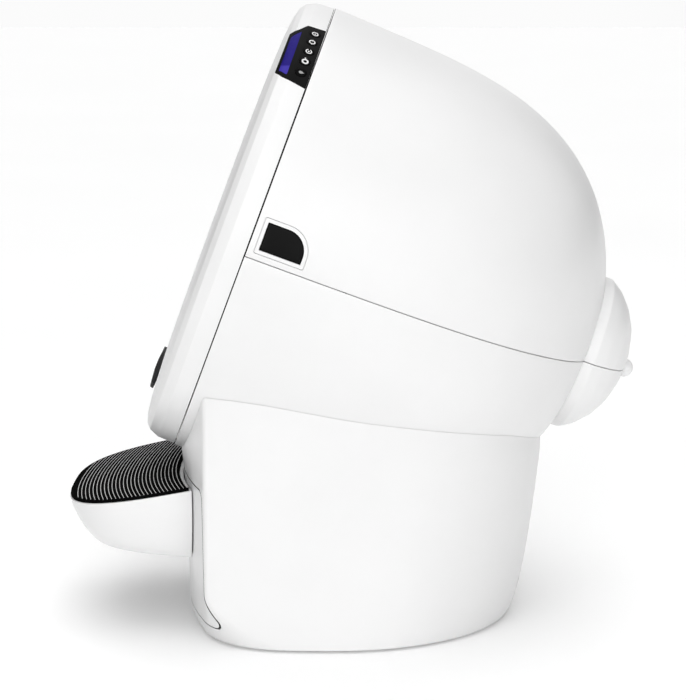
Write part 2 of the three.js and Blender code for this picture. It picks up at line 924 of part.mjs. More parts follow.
// ---------------------------------------------------------------- waste drawer and step
const TRAY_HALF = 188;
const TRAY_FRONT = -166;
const TRAY_REAR = 92;
const TRAY_CORNER = 45;
const TRAY_BOTTOM = 28;
const TRAY_TOP = 118;
function trayOutline(inwards) {
  const outline = [
    [TRAY_HALF - inwards, TRAY_FRONT + inwards],
  ];
  for (const [side, start] of [
    [1, 0],
    [-1, 90],
  ])
    for (let i = 0; i <= 4; i++) {
      const [c, s] = polar(TRAY_CORNER - inwards, start + 22.5 * i);
      outline.push([
        side * (TRAY_HALF - TRAY_CORNER) + c,
        TRAY_REAR - TRAY_CORNER + s,
      ]);
    }
  outline.push([-TRAY_HALF + inwards, TRAY_FRONT + inwards]);
  return outline;
}
add(
  "drawer_tray",
  prism(trayOutline(0), TRAY_BOTTOM, TRAY_TOP).subtract(
    prism(trayOutline(2.5), TRAY_BOTTOM + 2.5, TRAY_TOP + 10),
  ),
  BLACK,
);
const doorSkin = baseSolid(0)
  .intersect(roundedDoor(0, -260, -150))
  .subtract(baseSolid(5));
const doorBlocks = [-120, 120].map((x) =>
  box(x - 12, x + 12, -240, TRAY_FRONT - GAP, 40, 110).intersect(baseSolid(1)),
);
add("drawer_front", union(doorSkin, ...doorBlocks), WHITE);

// The step's outline: a squared half oval in front, and a rear edge along the drawer front.
const STEP_AROUND = 48;
const STEP_REACH = STEP_REAR_Y - STEP_TIP_Y;
const squared = (value) =>
  Math.sign(value) * Math.abs(value) ** (2 / STEP_SQUARE);
function stepOutline(scale, zOf) {
  const outline = [];
  for (let i = 0; i < STEP_AROUND; i++) {
    const turn = (2 * Math.PI * i) / STEP_AROUND;
    const front = Math.cos(turn) < -1e-9;
    const x = STEP_HALF * scale * (front ? squared(Math.sin(turn)) : Math.sin(turn));
    const y =
      STEP_REAR_Y +
      (front ? STEP_REACH * scale * squared(Math.cos(turn)) : 30 * Math.cos(turn));
    outline.push(new THREE.Vector3(x, y, zOf(y)));
  }
  return outline;
}
const stepTop = (y) => STEP_TIP_Z + (y - STEP_TIP_Y) * STEP_SLOPE;
const hullTop = (y) => stepTop(y) - MAT_THICK - GAP;
const hullBottom = (y) =>
  STEP_TIP_BOTTOM_Z +
  ((y - STEP_TIP_Y) / STEP_REACH) * (STEP_REAR_BOTTOM_Z - STEP_TIP_BOTTOM_Z);
const HULL_LEVELS = [0, 0.05, 0.15, 0.35, 0.65, 1];
const HULL_WALL = 3.5;
const hullScale = (t) =>
  HULL_FLOOR + (1 - HULL_FLOOR) * (1 - (1 - t) ** HULL_BULGE) ** (1 / HULL_BULGE);
// The hull is a bowl-shaped moulding, open underneath.
function hullSolid(inwards) {
  const shrink = 1 - inwards / STEP_HALF;
  return loft(
    HULL_LEVELS.map((t) =>
      stepOutline(
        shrink * hullScale(t),
        (y) =>
          hullBottom(y) -
          inwards +
          (hullTop(y) - hullBottom(y)) * t,
      ),
    ),
  );
}
add(
  "step_hull",
  hullSolid(0)
    .subtract(baseSolid(-1))
    .subtract(hullSolid(HULL_WALL).subtract(baseSolid(-1 - HULL_WALL))),
  WHITE,
);
add(
  "step_mat",
  loft([
    stepOutline(0.995, (y) => stepTop(y) - MAT_THICK),
    stepOutline(0.995, stepTop),
  ]).subtract(baseSolid(-5)),
  RUBBER,
);

export default root;
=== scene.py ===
"""Looks for the self-cleaning hooded cat litter box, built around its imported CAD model.

Shapes are worked out in millimetres and turned into metres when a mesh is made. Most of the object
is turned about one tilted axis, so those pieces are drawn in the tilted frame (x, v, u): x is the
object's own X, v points up and to the rear across the seam, and u runs to the rear along the axis.
"""

import math

import bmesh
import bpy
import numpy as np
from mathutils import Matrix, Vector
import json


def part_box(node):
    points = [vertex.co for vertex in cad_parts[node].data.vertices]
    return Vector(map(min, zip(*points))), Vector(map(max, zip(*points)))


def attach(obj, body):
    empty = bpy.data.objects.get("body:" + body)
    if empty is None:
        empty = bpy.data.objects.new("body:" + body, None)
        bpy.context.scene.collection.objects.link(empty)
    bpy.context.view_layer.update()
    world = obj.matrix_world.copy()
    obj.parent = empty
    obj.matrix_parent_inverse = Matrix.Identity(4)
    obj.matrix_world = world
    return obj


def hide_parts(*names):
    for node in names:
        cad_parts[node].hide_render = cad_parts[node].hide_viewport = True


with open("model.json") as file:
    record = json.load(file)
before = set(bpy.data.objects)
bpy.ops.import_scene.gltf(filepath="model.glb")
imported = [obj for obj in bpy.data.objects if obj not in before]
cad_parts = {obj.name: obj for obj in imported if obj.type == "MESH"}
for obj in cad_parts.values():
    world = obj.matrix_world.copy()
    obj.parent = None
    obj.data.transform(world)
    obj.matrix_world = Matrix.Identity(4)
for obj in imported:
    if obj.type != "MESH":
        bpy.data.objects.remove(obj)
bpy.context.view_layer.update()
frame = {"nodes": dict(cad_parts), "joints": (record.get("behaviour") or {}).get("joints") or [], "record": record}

# ---- driving sizes, in millimetres
GAP = 0.4
SPIN_U = 200  # where on the axis the globe's joint is stated
HOUSING_R = 290
WIDE_RATIO = 300 / 290
WIDE_FROM_R = 200
LOW_RATIO = 0.97
LOW_REACH = 200
DOME_LENGTH = 443
DOME_TAPER = 0.05
DOME_END = 435.5
WALL = 4
ENTRY_R = 198
BEZEL_FRONT = 48
PANEL_FROM = 41.9
PANEL_TO = 64.6
BUTTON_U = -11.5
BUTTON_R = 6.5
BUTTON_ANGLES = (60.5, 56.7, 52.8, 49, 45.2)
GLOBE_R = 250.5
GLOBE_MOUTH_R = 203
GLOBE_FRONT = 6
GLOBE_WIDEST = 115
GLOBE_REAR = 410
GLOBE_SEAM = 130
GLOBE_WALL = 3.5
AXLE_R = 9
AXLE_END_R = 11.5
AXLE_END = 494
HUB_FLANGE = 436.2
HUB_R = 98.5
HUB_FRONT = 428
PINION_ANGLE = -128
BASE_BOTTOM = 3
BASE_TOP = 330
BASE_MID_Y = -22.7
CORNER_Y = -174.7
SIDE_REACH = 419
DRAWER_BOTTOM = 24
DRAWER_TOP = 190
DRAWER_HALF = 222
DOOR_CORNER = 12
DOOR_SKIN = 5
STEP_HALF = 174.5
STEP_SQUARE = 3
STEP_REAR_Y = -195.1
STEP_TIP_Y = -351
STEP_TIP_Z = 156.4
STEP_SLOPE = math.tan(math.radians(10.45))
STEP_REAR_BOTTOM_Z = 96.6
STEP_TIP_BOTTOM_Z = 107.4
HULL_FLOOR = 0.84
HULL_BULGE = 1.35
MAT_THICK = 4
AROUND = 192  # facets round a full turn

# The tilted frame, from the globe's joint.
SPIN = next(joint for joint in frame["joints"] if joint["name"] == "globe_spin")
AXIS = Vector(SPIN["axis"]).normalized()
ACROSS = Vector((1, 0, 0)).cross(AXIS)
ORIGIN = Vector(SPIN["pos_m"]) * 1000 - AXIS * SPIN_U
TILTED = np.array([[1, 0, 0], list(ACROSS), list(AXIS)])


def tilted(points):
    """Points (x, v, u) of the tilted frame, in the object's frame."""
    return np.asarray(points, float) @ TILTED + np.array(ORIGIN)


def to_tilted(points):
    """Points of the object's frame as (x, v, u)."""
    return (np.asarray(points, float) - np.array(ORIGIN)) @ TILTED.T


def polar(radius, degrees):
    """A point of a circle about the origin."""
    angle = math.radians(degrees)
    return radius * math.cos(angle), radius * math.sin(angle)


# ---- meshes
def linked(name, data):
    """A new object in the scene."""
    obj = bpy.data.objects.new(name, data)
    bpy.context.scene.collection.objects.link(obj)
    return obj


def mesh_object(name, points, faces):
    """An object from points in millimetres, with its faces turned outwards."""
    mesh = bpy.data.meshes.new(name)
    mesh.from_pydata((np.asarray(points, float) / 1000).tolist(), [], faces)
    work = bmesh.new()
    work.from_mesh(mesh)
    bmesh.ops.recalc_face_normals(work, faces=work.faces)
    work.to_mesh(mesh)
    work.free()
    return linked(name, mesh)


def ring_faces(count, around, close):
    """Quads between each ring of points and the next."""
    faces = []
    for i in range(count if close else count - 1):
        a, b = i * around, (i + 1) % count * around
        for j in range(around):
            k = (j + 1) % around
            faces.append((a + j, a + k, b + k, b + j))
    return faces


def stacked(name, rings, close=False):
    """A body through closed rings of points; the two ends are capped unless the rings close."""
    rings = np.asarray(rings, float)
    count, around = rings.shape[:2]
    faces = ring_faces(count, around, close)
    if not close:
        faces.append(tuple(range(around)))
        faces.append(tuple(range((count - 1) * around, count * around)))
    return mesh_object(name, rings.reshape(-1, 3), faces)


def rounded(points, radii, steps=4):
    """A closed outline with rounded corners; radii may be one number or one for each corner."""
    points = [np.array(p, float) for p in points]
    count = len(points)
    if np.isscalar(radii):
        radii = [radii] * count
    out = []
    for i, (corner, radius) in enumerate(zip(points, radii)):
        if radius <= 0:
            out.append(corner)
            continue
        before = points[i - 1] - corner
        after = points[(i + 1) % count] - corner
        to_before, to_after = before / np.linalg.norm(before), after / np.linalg.norm(after)
        half = math.acos(np.clip(to_before @ to_after, -1, 1)) / 2
        reach = radius / max(math.tan(half), 1e-6)
        reach = min(reach, 0.48 * np.linalg.norm(before), 0.48 * np.linalg.norm(after))
        first, last = corner + to_before * reach, corner + to_after * reach
        for k in range(steps + 1):
            t = k / steps
            out.append((1 - t) ** 2 * first + 2 * t * (1 - t) * corner + t * t * last)
    return np.array(out)


def inset(loop, depth):
    """A closed loop of 2-D points moved inwards by depth."""
    loop = np.asarray(loop, float)
    before, after = np.roll(loop, 1, 0), np.roll(loop, -1, 0)
    area = np.sum(loop[:, 0] * after[:, 1] - after[:, 0] * loop[:, 1])
    turn = 1 if area > 0 else -1

    def inward(edge):
        size = np.maximum(np.linalg.norm(edge, axis=1, keepdims=True), 1e-9)
        edge = edge / size
        return turn * np.stack([-edge[:, 1], edge[:, 0]], 1)

    a, b = inward(loop - before), inward(after - loop)
    middle = a + b
    size = np.maximum(np.linalg.norm(middle, axis=1, keepdims=True), 1e-9)
    middle /= size
    stretch = 1 / np.maximum(np.sum(middle * a, 1, keepdims=True), 0.5)
    return loop + middle * stretch * depth


def widen(x, v, u):
    """Widens the housing along x and flattens its underside in front, towards its full radius."""
    r = np.hypot(x, v)
    share = np.clip((r - WIDE_FROM_R) / (HOUSING_R - WIDE_FROM_R), 0, 1)
    front = np.clip((LOW_REACH - np.asarray(u, float)) / LOW_REACH, 0, 1)
    low = np.where(v < 0, 1 + (LOW_RATIO - 1) * share * front, 1)
    return x * (1 + (WIDE_RATIO - 1) * share), v * low


def placed(x, v, u, wide=False):
    """Points of a turned body in the object's frame, widened where they belong to the housing."""
    if wide:
        x, v = widen(x, v, u)
    return tilted(np.stack([x, v, u], 1))


def full_turn(name, profile, wide=False, around=AROUND):
    """A closed profile of (u, r) turned right round the axis."""
    u, r = np.asarray(profile, float).T
    rings = []
    for i in range(around):
        x_unit, v_unit = polar(1, 360 * (i + 0.5) / around)
        rings.append(placed(r * x_unit, r * v_unit, u, wide))
    return stacked(name, rings, close=True)


def half_turn(name, profile, side, wide=False, edge=0.7, around=AROUND // 2):
    """Half of a turned body, cut along the seam, with the edges along the cut rounded."""
    profile = np.asarray(profile, float)
    stations = []
    for k in range(4):
        turn = math.radians(30 * k)
        stations.append((edge * (1 - math.sin(turn)), GAP + edge * (1 - math.cos(turn)), 0.0))
    stations += [(0.0, GAP + edge, 180 * i / around) for i in range(1, around)]
    stations += [(depth, v, 180.0) for depth, v, _ in stations[3::-1]]
    rings = []
    for depth, lift, degrees in stations:
        u, r = (inset(profile, depth) if depth > 0 else profile).T
        v = lift + (r - lift) * math.sin(math.radians(degrees))
        x = np.sqrt(np.maximum(r * r - v * v, 0)) * (1 if degrees < 90 else -1)
        rings.append(placed(x, v * side, u, wide))
    return stacked(name, rings)


def part_turn(name, profile, start, end, edge=0.5, steps=96):
    """Part of a turned body between two angles, with rounded ends."""
    profile = np.asarray(profile, float)
    per_mm = math.degrees(1 / float(profile[:, 1].mean()))
    ends = []
    for k in range(3):
        turn = math.radians(45 * k)
        ends.append((edge * (1 - math.sin(turn)), edge * (1 - math.cos(turn)) * per_mm))
    stations = [(depth, start + shift) for depth, shift in ends]
    first, last = start + ends[-1][1], end - ends[-1][1]
    stations += [(0.0, first + (last - first) * i / steps) for i in range(1, steps)]
    stations += [(depth, end - shift) for depth, shift in reversed(ends)]
    rings = []
    for depth, degrees in stations:
        u, r = (inset(profile, depth) if depth > 0 else profile).T
        x_unit, v_unit = polar(1, degrees)
        rings.append(placed(r * x_unit, r * v_unit, u))
    return stacked(name, rings)


def turned_solid(name, profile, around=96, wide=False):
    """A body turned from an open profile whose two ends are near the axis."""
    turn = np.radians(360 * (np.arange(around) + 0.5) / around)
    rings = []
    for u, r in profile:
        rings.append(placed(r * np.cos(turn), r * np.sin(turn), np.full(around, float(u)), wide))
    return stacked(name, rings)


def tilted_prism(name, outline, x_from, x_to):
    """An outline of (v, u) points drawn out along x."""
    rings = [[(x, v, u) for v, u in outline] for x in (x_from, x_to)]
    return stacked(name, [tilted(ring) for ring in rings])


def turned_box(name, degrees, r0, r1, side, u0, u1):
    """A box in the tilted frame, turned about the axis."""
    c, s = polar(1, degrees)
    corners = [(r0, -side), (r1, -side), (r1, side), (r0, side)]
    rings = [tilted([(r * c - t * s, r * s + t * c, u) for r, t in corners]) for u in (u0, u1)]
    return stacked(name, rings)


def lathe(name, place, out, side, other, profile, around):
    """Rings of (height, radius) about the line that starts at place and runs along out."""
    circle = [polar(1, 360 * i / around) for i in range(around)]
    rings = []
    for height, radius in profile:
        middle = place + out * height
        rings.append([list(middle + (side * c + other * s) * radius) for c, s in circle])
    return stacked(name, rings)


def rod(name, start, end, radius, around=48):
    """A round bar between two points of the object's frame."""
    start, end = Vector(start), Vector(end)
    out = (end - start).normalized()
    side = out.orthogonal().normalized()
    profile = [(0, radius), ((end - start).length, radius)]
    return lathe(name, start, out, side, out.cross(side), profile, around)


def patch(name, outline, top, bottom, loops, edge):
    """A plate over a rounded outline of (a, b), from its surface top(a, b) to bottom(a, b).

    The edge round its top is rounded, and loops of points let it bend over the surface.
    """
    outline = np.asarray(outline, float)
    centre = (outline.max(0) + outline.min(0)) / 2
    upper = np.array(top(outline[:, 0], outline[:, 1]))
    lower = np.array(bottom(outline[:, 0], outline[:, 1]))
    thickness = float(np.linalg.norm(upper - lower, axis=1).mean())

    def ring(shape, depth):
        a, b = shape[:, 0], shape[:, 1]
        high, low = np.array(top(a, b)), np.array(bottom(a, b))
        return high + (low - high) * depth / thickness

    inner = inset(outline, edge)
    rings = [ring(centre + (inner - centre) * share, thickness) for share in (0.02, 0.5)]
    rings.append(ring(outline, thickness))
    for k in range(4):
        turn = math.radians(30 * k)
        shape = inset(outline, edge * (1 - math.cos(turn)))
        rings.append(ring(shape, edge * (1 - math.sin(turn))))
    for share in np.linspace(0, 1, loops + 1)[-2:0:-1]:
        rings.append(ring(centre + (inner - centre) * share, 0))
    return stacked(name, rings)


def boolean(obj, cutter, operation="DIFFERENCE"):
    """Cuts obj with cutter, keeps the result and removes the cutter."""
    modifier = obj.modifiers.new("cut", "BOOLEAN")
    modifier.operation = operation
    modifier.solver = "EXACT"
    modifier.object = cutter
    bpy.context.view_layer.update()
    depsgraph = bpy.context.evaluated_depsgraph_get()
    result = bpy.data.meshes.new_from_object(obj.evaluated_get(depsgraph))
    obj.modifiers.clear()
    obj.data = result
    bpy.data.objects.remove(cutter)


def joined(name, parts):
    """Several objects as one."""
    work = bmesh.new()
    for part in parts:
        work.from_mesh(part.data)
    mesh = bpy.data.meshes.new(name)
    work.to_mesh(mesh)
    work.free()
    for part in parts:
        bpy.data.objects.remove(part)
    return linked(name, mesh)


# ---- materials
def add_node(tree, kind, numbers, links):
    """A node with some inputs set and others linked."""
    node = tree.nodes.new("ShaderNode" + kind)
    for name, number in numbers.items():
        node.inputs[name].default_value = number
    for name, source in links.items():
        tree.links.new(source, node.inputs[name])
    return node


def new_material(name):
    """A material with one principled shader, and its tree, shader and coordinates."""
    material = bpy.data.materials.new(name)
    material.use_nodes = True
    tree = material.node_tree
    tree.nodes.clear()
    output = tree.nodes.new("ShaderNodeOutputMaterial")
    shader = tree.nodes.new("ShaderNodeBsdfPrincipled")
    tree.links.new(shader.outputs["BSDF"], output.inputs["Surface"])
    coordinates = tree.nodes.new("ShaderNodeTexCoord")
    return material, tree, shader, coordinates


def noise(tree, coordinates, scale, detail=3.0, stretch=None):
    """Noise over the object's own place, drawn out along an axis by stretch."""
    source = coordinates.outputs["Object"]
    if stretch:
        source = add_node(tree, "Mapping", {"Scale": stretch}, {"Vector": source}).outputs["Vector"]
    numbers = {"Scale": scale, "Detail": detail}
    return add_node(tree, "TexNoise", numbers, {"Vector": source}).outputs["Fac"]


def ramp(tree, value, low, high, at_low, at_high, interpolation="LINEAR"):
    """A value from low to high, as a number from at_low to at_high."""
    numbers = {"From Min": low, "From Max": high, "To Min": at_low, "To Max": at_high}
    node = add_node(tree, "MapRange", numbers, {"Value": value})
    node.interpolation_type = interpolation
    return node.outputs["Result"]


def two_tone(tree, value, dark, light):
    """A noise value as a colour between dark and light."""
    node = add_node(tree, "ValToRGB", {}, {"Fac": value})
    for element, place, colour in zip(node.color_ramp.elements, (0.35, 0.65), (dark, light)):
        element.position = place
        element.color = (*colour, 1)
    return node.outputs["Color"]


def bump(tree, shader, value, strength, distance):
    """Small relief in the shading, distance in metres."""
    node = add_node(tree, "Bump", {"Strength": strength, "Distance": distance}, {"Height": value})
    tree.links.new(node.outputs["Normal"], shader.inputs["Normal"])


def plain(
    name, dark, light, rough, grain, grain_depth, patch_scale=7, ior=1.46, metallic=0.0, stretch=None
):
    """A moulded, turned or rubber surface: faint patches of tone and gloss over a fine grain."""
    material, tree, shader, coordinates = new_material(name)
    patches = noise(tree, coordinates, patch_scale)
    tree.links.new(two_tone(tree, patches, dark, light), shader.inputs["Base Color"])
    gloss = noise(tree, coordinates, patch_scale * 9, detail=5)
    tree.links.new(ramp(tree, gloss, *NOISE_SPAN, *rough), shader.inputs["Roughness"])
    fine = noise(tree, coordinates, grain, detail=2, stretch=stretch)
    bump(tree, shader, fine, 1.0, grain_depth)
    shader.inputs["IOR"].default_value = ior
    shader.inputs["Metallic"].default_value = metallic
    return material


def grey(value):
    """A colour with no tint."""
    return (value, value, value)


NOISE_SPAN = (0.3, 0.7)  # where nearly all of a noise's values lie

WHITE = plain("white_shell", grey(0.765), grey(0.785), (0.3, 0.34), 150, 0.0000015)
FASCIA = plain("black_panel", grey(0.006), grey(0.009), (0.4, 0.48), 900, 0.00001, ior=1.09)
KEY = plain("key_black", grey(0.003), grey(0.005), (0.35, 0.45), 900, 0.00001, ior=1.08)
ICON = plain("icon_white", grey(0.68), grey(0.74), (0.4, 0.5), 2600, 0.00001)
ICON_DIM = plain("icon_grey", grey(0.3), grey(0.36), (0.4, 0.5), 2600, 0.00001)
RUBBER = plain("black_rubber", grey(0.006), grey(0.01), (0.55, 0.68), 900, 0.00003, ior=1.3)
GLOBE = plain("globe_plastic", (0.6, 0.61, 0.62), (0.64, 0.65, 0.66), (0.4, 0.5), 1100, 0.00004)
GREY = plain("grey_plastic", (0.17, 0.175, 0.18), (0.2, 0.205, 0.21), (0.45, 0.55), 1200, 0.00004)
DARK = plain("dark_plastic", (0.02, 0.02, 0.021), (0.028, 0.028, 0.03), (0.4, 0.5), 1200, 0.00004)
STEEL = plain(
    "steel", (0.52, 0.53, 0.55), (0.58, 0.59, 0.61), (0.22, 0.34), 500, 0.00002,
    metallic=1.0, stretch=(8, 1, 1),
)
CARBON = plain("carbon", grey(0.012), grey(0.03), (0.85, 0.95), 700, 0.0004)
BOARD = plain("circuit_board", (0.02, 0.11, 0.045), (0.03, 0.15, 0.06), (0.3, 0.42), 350, 0.00005)
MAT_BASE = plain("mat_groove", grey(0.002), grey(0.004), (0.85, 0.95), 900, 0.00003, ior=1.03)
# Near-black painted shade for the faces that look into the housing's seam and into the gap round the drawer door;
# it stands in for the shadow deep in those gaps.
SEAM_SHADE = plain("seam_shadow", grey(0.01), grey(0.014), (0.85, 0.95), 900, 0.00003, ior=1.05)
# Pale grey on the rib tops of the black rubber mat is a painted highlight, the glint of light along each rib.
MAT_RIB_GLINT = plain("mat_rib_glint", grey(0.46), grey(0.52), (0.25, 0.33), 900, 0.000005, ior=1.5)
TAB = plain("tab_black", grey(0.002), grey(0.004), (0.3, 0.38), 900, 0.00001, ior=1.16)

LCD_PALE_PART = (0.2, 0.24)  # shares of the display's height between which it darkens


def display_material():
    """Indigo liquid crystal: a lit bar with fine pixel rows, and a paler patch at its lower end."""
    material, tree, shader, coordinates = new_material("display")
    blotches = noise(tree, coordinates, 120, detail=2)
    colour = two_tone(tree, blotches, (0.014, 0.008, 0.16), (0.017, 0.01, 0.18))
    low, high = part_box("display_window")
    from_z, to_z = (low.z + share * (high.z - low.z) for share in LCD_PALE_PART)
    place = coordinates.outputs["Object"]
    split = add_node(tree, "SeparateXYZ", {}, {"Vector": place})
    dark_part = ramp(tree, split.outputs["Z"], from_z, to_z, 0, 1)
    mix = tree.nodes.new("ShaderNodeMix")
    mix.data_type = "RGBA"
    mix.inputs["A"].default_value = (0.05, 0.036, 0.33, 1)
    tree.links.new(dark_part, mix.inputs["Factor"])
    tree.links.new(colour, mix.inputs["B"])
    tree.links.new(mix.outputs["Result"], shader.inputs["Base Color"])
    rows = add_node(tree, "TexWave", {"Scale": 260}, {"Vector": place})
    rows.bands_direction = "Z"
    bump(tree, shader, rows.outputs["Fac"], 0.3, 0.00002)
    shader.inputs["Roughness"].default_value = 0.3
    shader.inputs["IOR"].default_value = 1.1
    return material


DISPLAY = display_material()


def keep(obj, body, node, material, degrees=32):
    """Finishes a piece: smooth shading, its material, and its place in the frame."""
    obj.data.shade_smooth()
    obj.data.set_sharp_from_angle(angle=math.radians(degrees))
    if material:
        obj.data.materials.clear()
        obj.data.materials.append(material)
    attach(obj, body)
    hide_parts(node)


def paint(obj, material, chosen):
    """Gives the faces that the test picks, by centre and normal, a second material."""
    obj.data.materials.append(material)
    index = len(obj.data.materials) - 1
    for face in obj.data.polygons:
        if chosen(face.center, face.normal):
            face.material_index = index


SEAM_REACH = 4  # how far along the axis the seam's own faces lie
SEAM_FACING = 0.25  # and how squarely they look along it


def faces_seam(centre, normal):
    """Whether a face looks into the seam between the bezel and the housing, and so gets painted shade."""
    along = to_tilted([np.array(centre) * 1000])[0][2]
    return abs(along) < SEAM_REACH and abs(normal.dot(AXIS)) > SEAM_FACING


# ---- housing
def dome_radius(u):
    """The housing's radius over u, before it is widened."""
    t = np.minimum(np.asarray(u, float) / DOME_LENGTH, 1)
    return HOUSING_R * (1 - DOME_TAPER * t) * np.sqrt(np.maximum(1 - t**4, 0))


def dome_profile(outwards):
    """The housing's profile of (u, r), moved outwards."""
    stations = np.concatenate([np.linspace(GAP, 350, 36), np.linspace(356, DOME_END, 30)])
    shift = outwards * stations**3 / DOME_LENGTH**3
    return np.stack([stations + shift, dome_radius(stations) + outwards], 1)


def shell_profile():
    """The housing's wall as a closed loop, its front rim rounded."""
    outer, inner = dome_profile(0), dome_profile(-WALL)[::-1]
    loop = np.concatenate([outer, inner])
    radii = [0.0] * len(loop)
    radii[0] = radii[-1] = 0.8
    return rounded(loop, radii, steps=3)


def housing_volume(name, outwards):
    """Everything inside the housing, and in front of it past the bezel."""
    front, rear = -90, DOME_END + 8
    profile = [(front, 0.5), (front, HOUSING_R + outwards)]
    profile += [tuple(p) for p in dome_profile(outwards)]
    profile += [(rear, 40), (rear, 0.5)]
    return turned_solid(name, profile, around=AROUND, wide=True)


SEAM_WEDGE = 0.35  # the seam in front of the bonnet opens by this much towards the top
FRONT_RIM = 3  # the bonnet's points nearer its front than this move with the wedge
TAB_FRONT, TAB_REAR, TAB_LOW, TAB_HIGH, TAB_CORNER = 13, 61, 12.5, 44, 24
TAB_SOFT, TAB_GAP = 0.8, 0.6
GROOVE_OUTER = (5.4, 2.2)  # outwards from the tab, and the radius of the small corners
GROOVE_INNER = (4.75, 1.55)
GROOVE_DEPTH = 2.5


def tab_outline(outwards, soft, steps=14):
    """The release tab's quarter-round outline as (v, u), grown outwards."""
    low, high = TAB_LOW - outwards, TAB_HIGH + outwards
    front, rear = TAB_FRONT - outwards, TAB_REAR + outwards
    corners = [
        (low, front, 1, 1, soft), (low, rear, 1, -1, soft),
        (high, rear, -1, -1, TAB_CORNER + outwards), (high, front, -1, 1, soft),
    ]
    out = []
    for i, (v, u, v_sign, u_sign, radius) in enumerate(corners):
        for k in range(steps + 1):
            c, s = polar(radius, -90 * (i + 1) - 90 * k / steps)
            out.append((v + v_sign * radius + c, u + u_sign * radius + s))
    return out


def build_bonnet():
    """The upper housing, with a window and a fine groove round each release tab."""
    shell = half_turn("bonnet_shell_form", shell_profile(), 1, wide=True)
    for side in (1, -1):
        boolean(shell, tilted_prism("window", tab_outline(TAB_GAP, TAB_SOFT), side * 270, side * 320))
        groove = tilted_prism("groove", tab_outline(*GROOVE_OUTER), side * 250, side * 330)
        boolean(groove, tilted_prism("inside", tab_outline(*GROOVE_INNER), side * 240, side * 340))
        boolean(groove, housing_volume("skin", -GROOVE_DEPTH))
        boolean(shell, groove)
    for vertex in shell.data.vertices:
        _, v, u = to_tilted([np.array(vertex.co) * 1000])[0]
        if u < FRONT_RIM:
            vertex.co += AXIS * (SEAM_WEDGE * max(v, 0) / HOUSING_R / 1000)
    keep(shell, "bonnet", "bonnet_shell", WHITE)
    # Painted shade: the bonnet's faces in the seam at its rim are near-black, for the shadow in the seam.
    paint(shell, SEAM_SHADE, faces_seam)


def tab_surface(side, depth):
    """A point of the housing's surface beside (v, u), some depth under it."""

    def surface(v, u):
        r = dome_radius(u) - depth
        x = np.sqrt(np.maximum(r * r - v * v, 0))
        x, _ = widen(x, v, u)
        return tilted(np.stack([side * x, v, u], 1))

    return surface


def build_tabs():
    """A release tab on each side of the bonnet."""
    for name, side in (("right", 1), ("left", -1)):
        node = "release_tab_" + name
        outline, top, bottom = tab_outline(0, TAB_SOFT), tab_surface(side, 0.3), tab_surface(side, 10)
        keep(patch(node + "_form", outline, top, bottom, 8, 0.7), node, node, TAB)


def build_tub():
    """The lower housing, open at the waste chute and where the pinion reaches the globe."""
    tub = half_turn("lower_housing_form", shell_profile(), -1, wide=True)
    chute = stacked(
        "chute",
        [tilted([(-72, v, 150), (72, v, 150), (72, v, 285), (-72, v, 285)]) for v in (-400, -150)],
    )
    boolean(tub, chute)
    boolean(tub, turned_box("drive_window", PINION_ANGLE, 230, 340, 42, 92, 160))
    keep(tub, "base", "lower_housing", WHITE)


HUB_LOOP = [
    (HUB_FRONT, 66.3), (HUB_FLANGE, 66.3), (HUB_FLANGE, HUB_R - 3.4), (HUB_FRONT, HUB_R - 3),
    (HUB_FRONT, HUB_R), (441, HUB_R - 0.5), (456, 88.2), (471.4, 71.8), (482.6, 52.6), (489.9, 28.6),
    (491.6, 12.9), (487.6, 12.9), (486, 27.5), (468, 68.6), (440.4, 90), (440.4, 62.5), (HUB_FRONT, 62.5),
]
HUB_ROUNDING = [0, 0.5, 0, 0.3, 1.0, 5, 40, 40, 40, 30, 0.8, 0.5, 8, 20, 0, 0, 0]


def build_hub():
    """The rear hub's two half covers, and the ball end of the globe's axle inside them."""
    profile = rounded(HUB_LOOP, HUB_ROUNDING, steps=6)
    for name, side, body in (("bonnet_hub_cover", 1, "bonnet"), ("lower_hub_cover", -1, "base")):
        cover = half_turn(name + "_form", profile, side, around=72)
        keep(cover, body, name, WHITE)
    ball = [(AXLE_END - 12, 0.4), (AXLE_END - 12, AXLE_R)]
    for i in range(17):
        c, s = polar(AXLE_END_R, 130 - 130 * i / 16)
        ball.append((AXLE_END + c, max(s, 0.4)))
    cap = turned_solid("axle_end_cap_form", ball, around=64)
    keep(cap, "globe", "axle_end_cap", WHITE)


# ---- bezel and control panel
BEZEL_OUTER = [
    (-GAP, 289), (-22, 288), (-34, 282.5), (-40, 275), (-43.5, 262), (-46, 240),
    (-BEZEL_FRONT, ENTRY_R),
]
OUTER_ROUNDING = [0.8, 6, 5, 5, 25, 60, 2.2]
BEZEL_INNER = [
    (-2, ENTRY_R), (-2, ENTRY_R + 3), (-BEZEL_FRONT + WALL, ENTRY_R + 3), (-42, 239),
    (-36.5, 271), (-31.5, 278.7), (-21, 284), (-GAP, 285),
]
INNER_ROUNDING = [0.8, 0.8, 1, 20, 6, 6, 10, 0.8]


def band_radius(u, depth):
    """The bezel's outer surface at depth under its band and chamfer, as a radius over u."""
    stations = [(-40.0, 275.0), (-34.0, 282.5), (-22.0, 288.0), (2.0, 289.05)]
    us, rs = [s[0] for s in stations], [s[1] for s in stations]
    out = 0
    for shift in (-2.2, -1.1, 0, 1.1, 2.2):  # softens the crease between band and chamfer
        out = out + np.interp(np.asarray(u, float) + shift, us, rs) / 5
    return out - depth


PANEL_MM = math.radians(1) * 288  # arc length of one degree round the bezel


def band_surface(depth):
    """Points of the bezel's band at an arc length and u; depth is under the surface."""

    def surface(arc, u):
        angle = np.asarray(arc, float) / PANEL_MM
        lean = np.interp(u, [-40, -30, -20], [0.62, 0.4, 0.0])
        r = band_radius(u, 0) - depth * (1 - 0.3 * lean)
        x, v = r * np.cos(np.radians(angle)), r * np.sin(np.radians(angle))
        x, v = widen(x, v, u)
        return tilted(np.stack([x, v, np.asarray(u, float) + depth * lean], 1))

    return surface


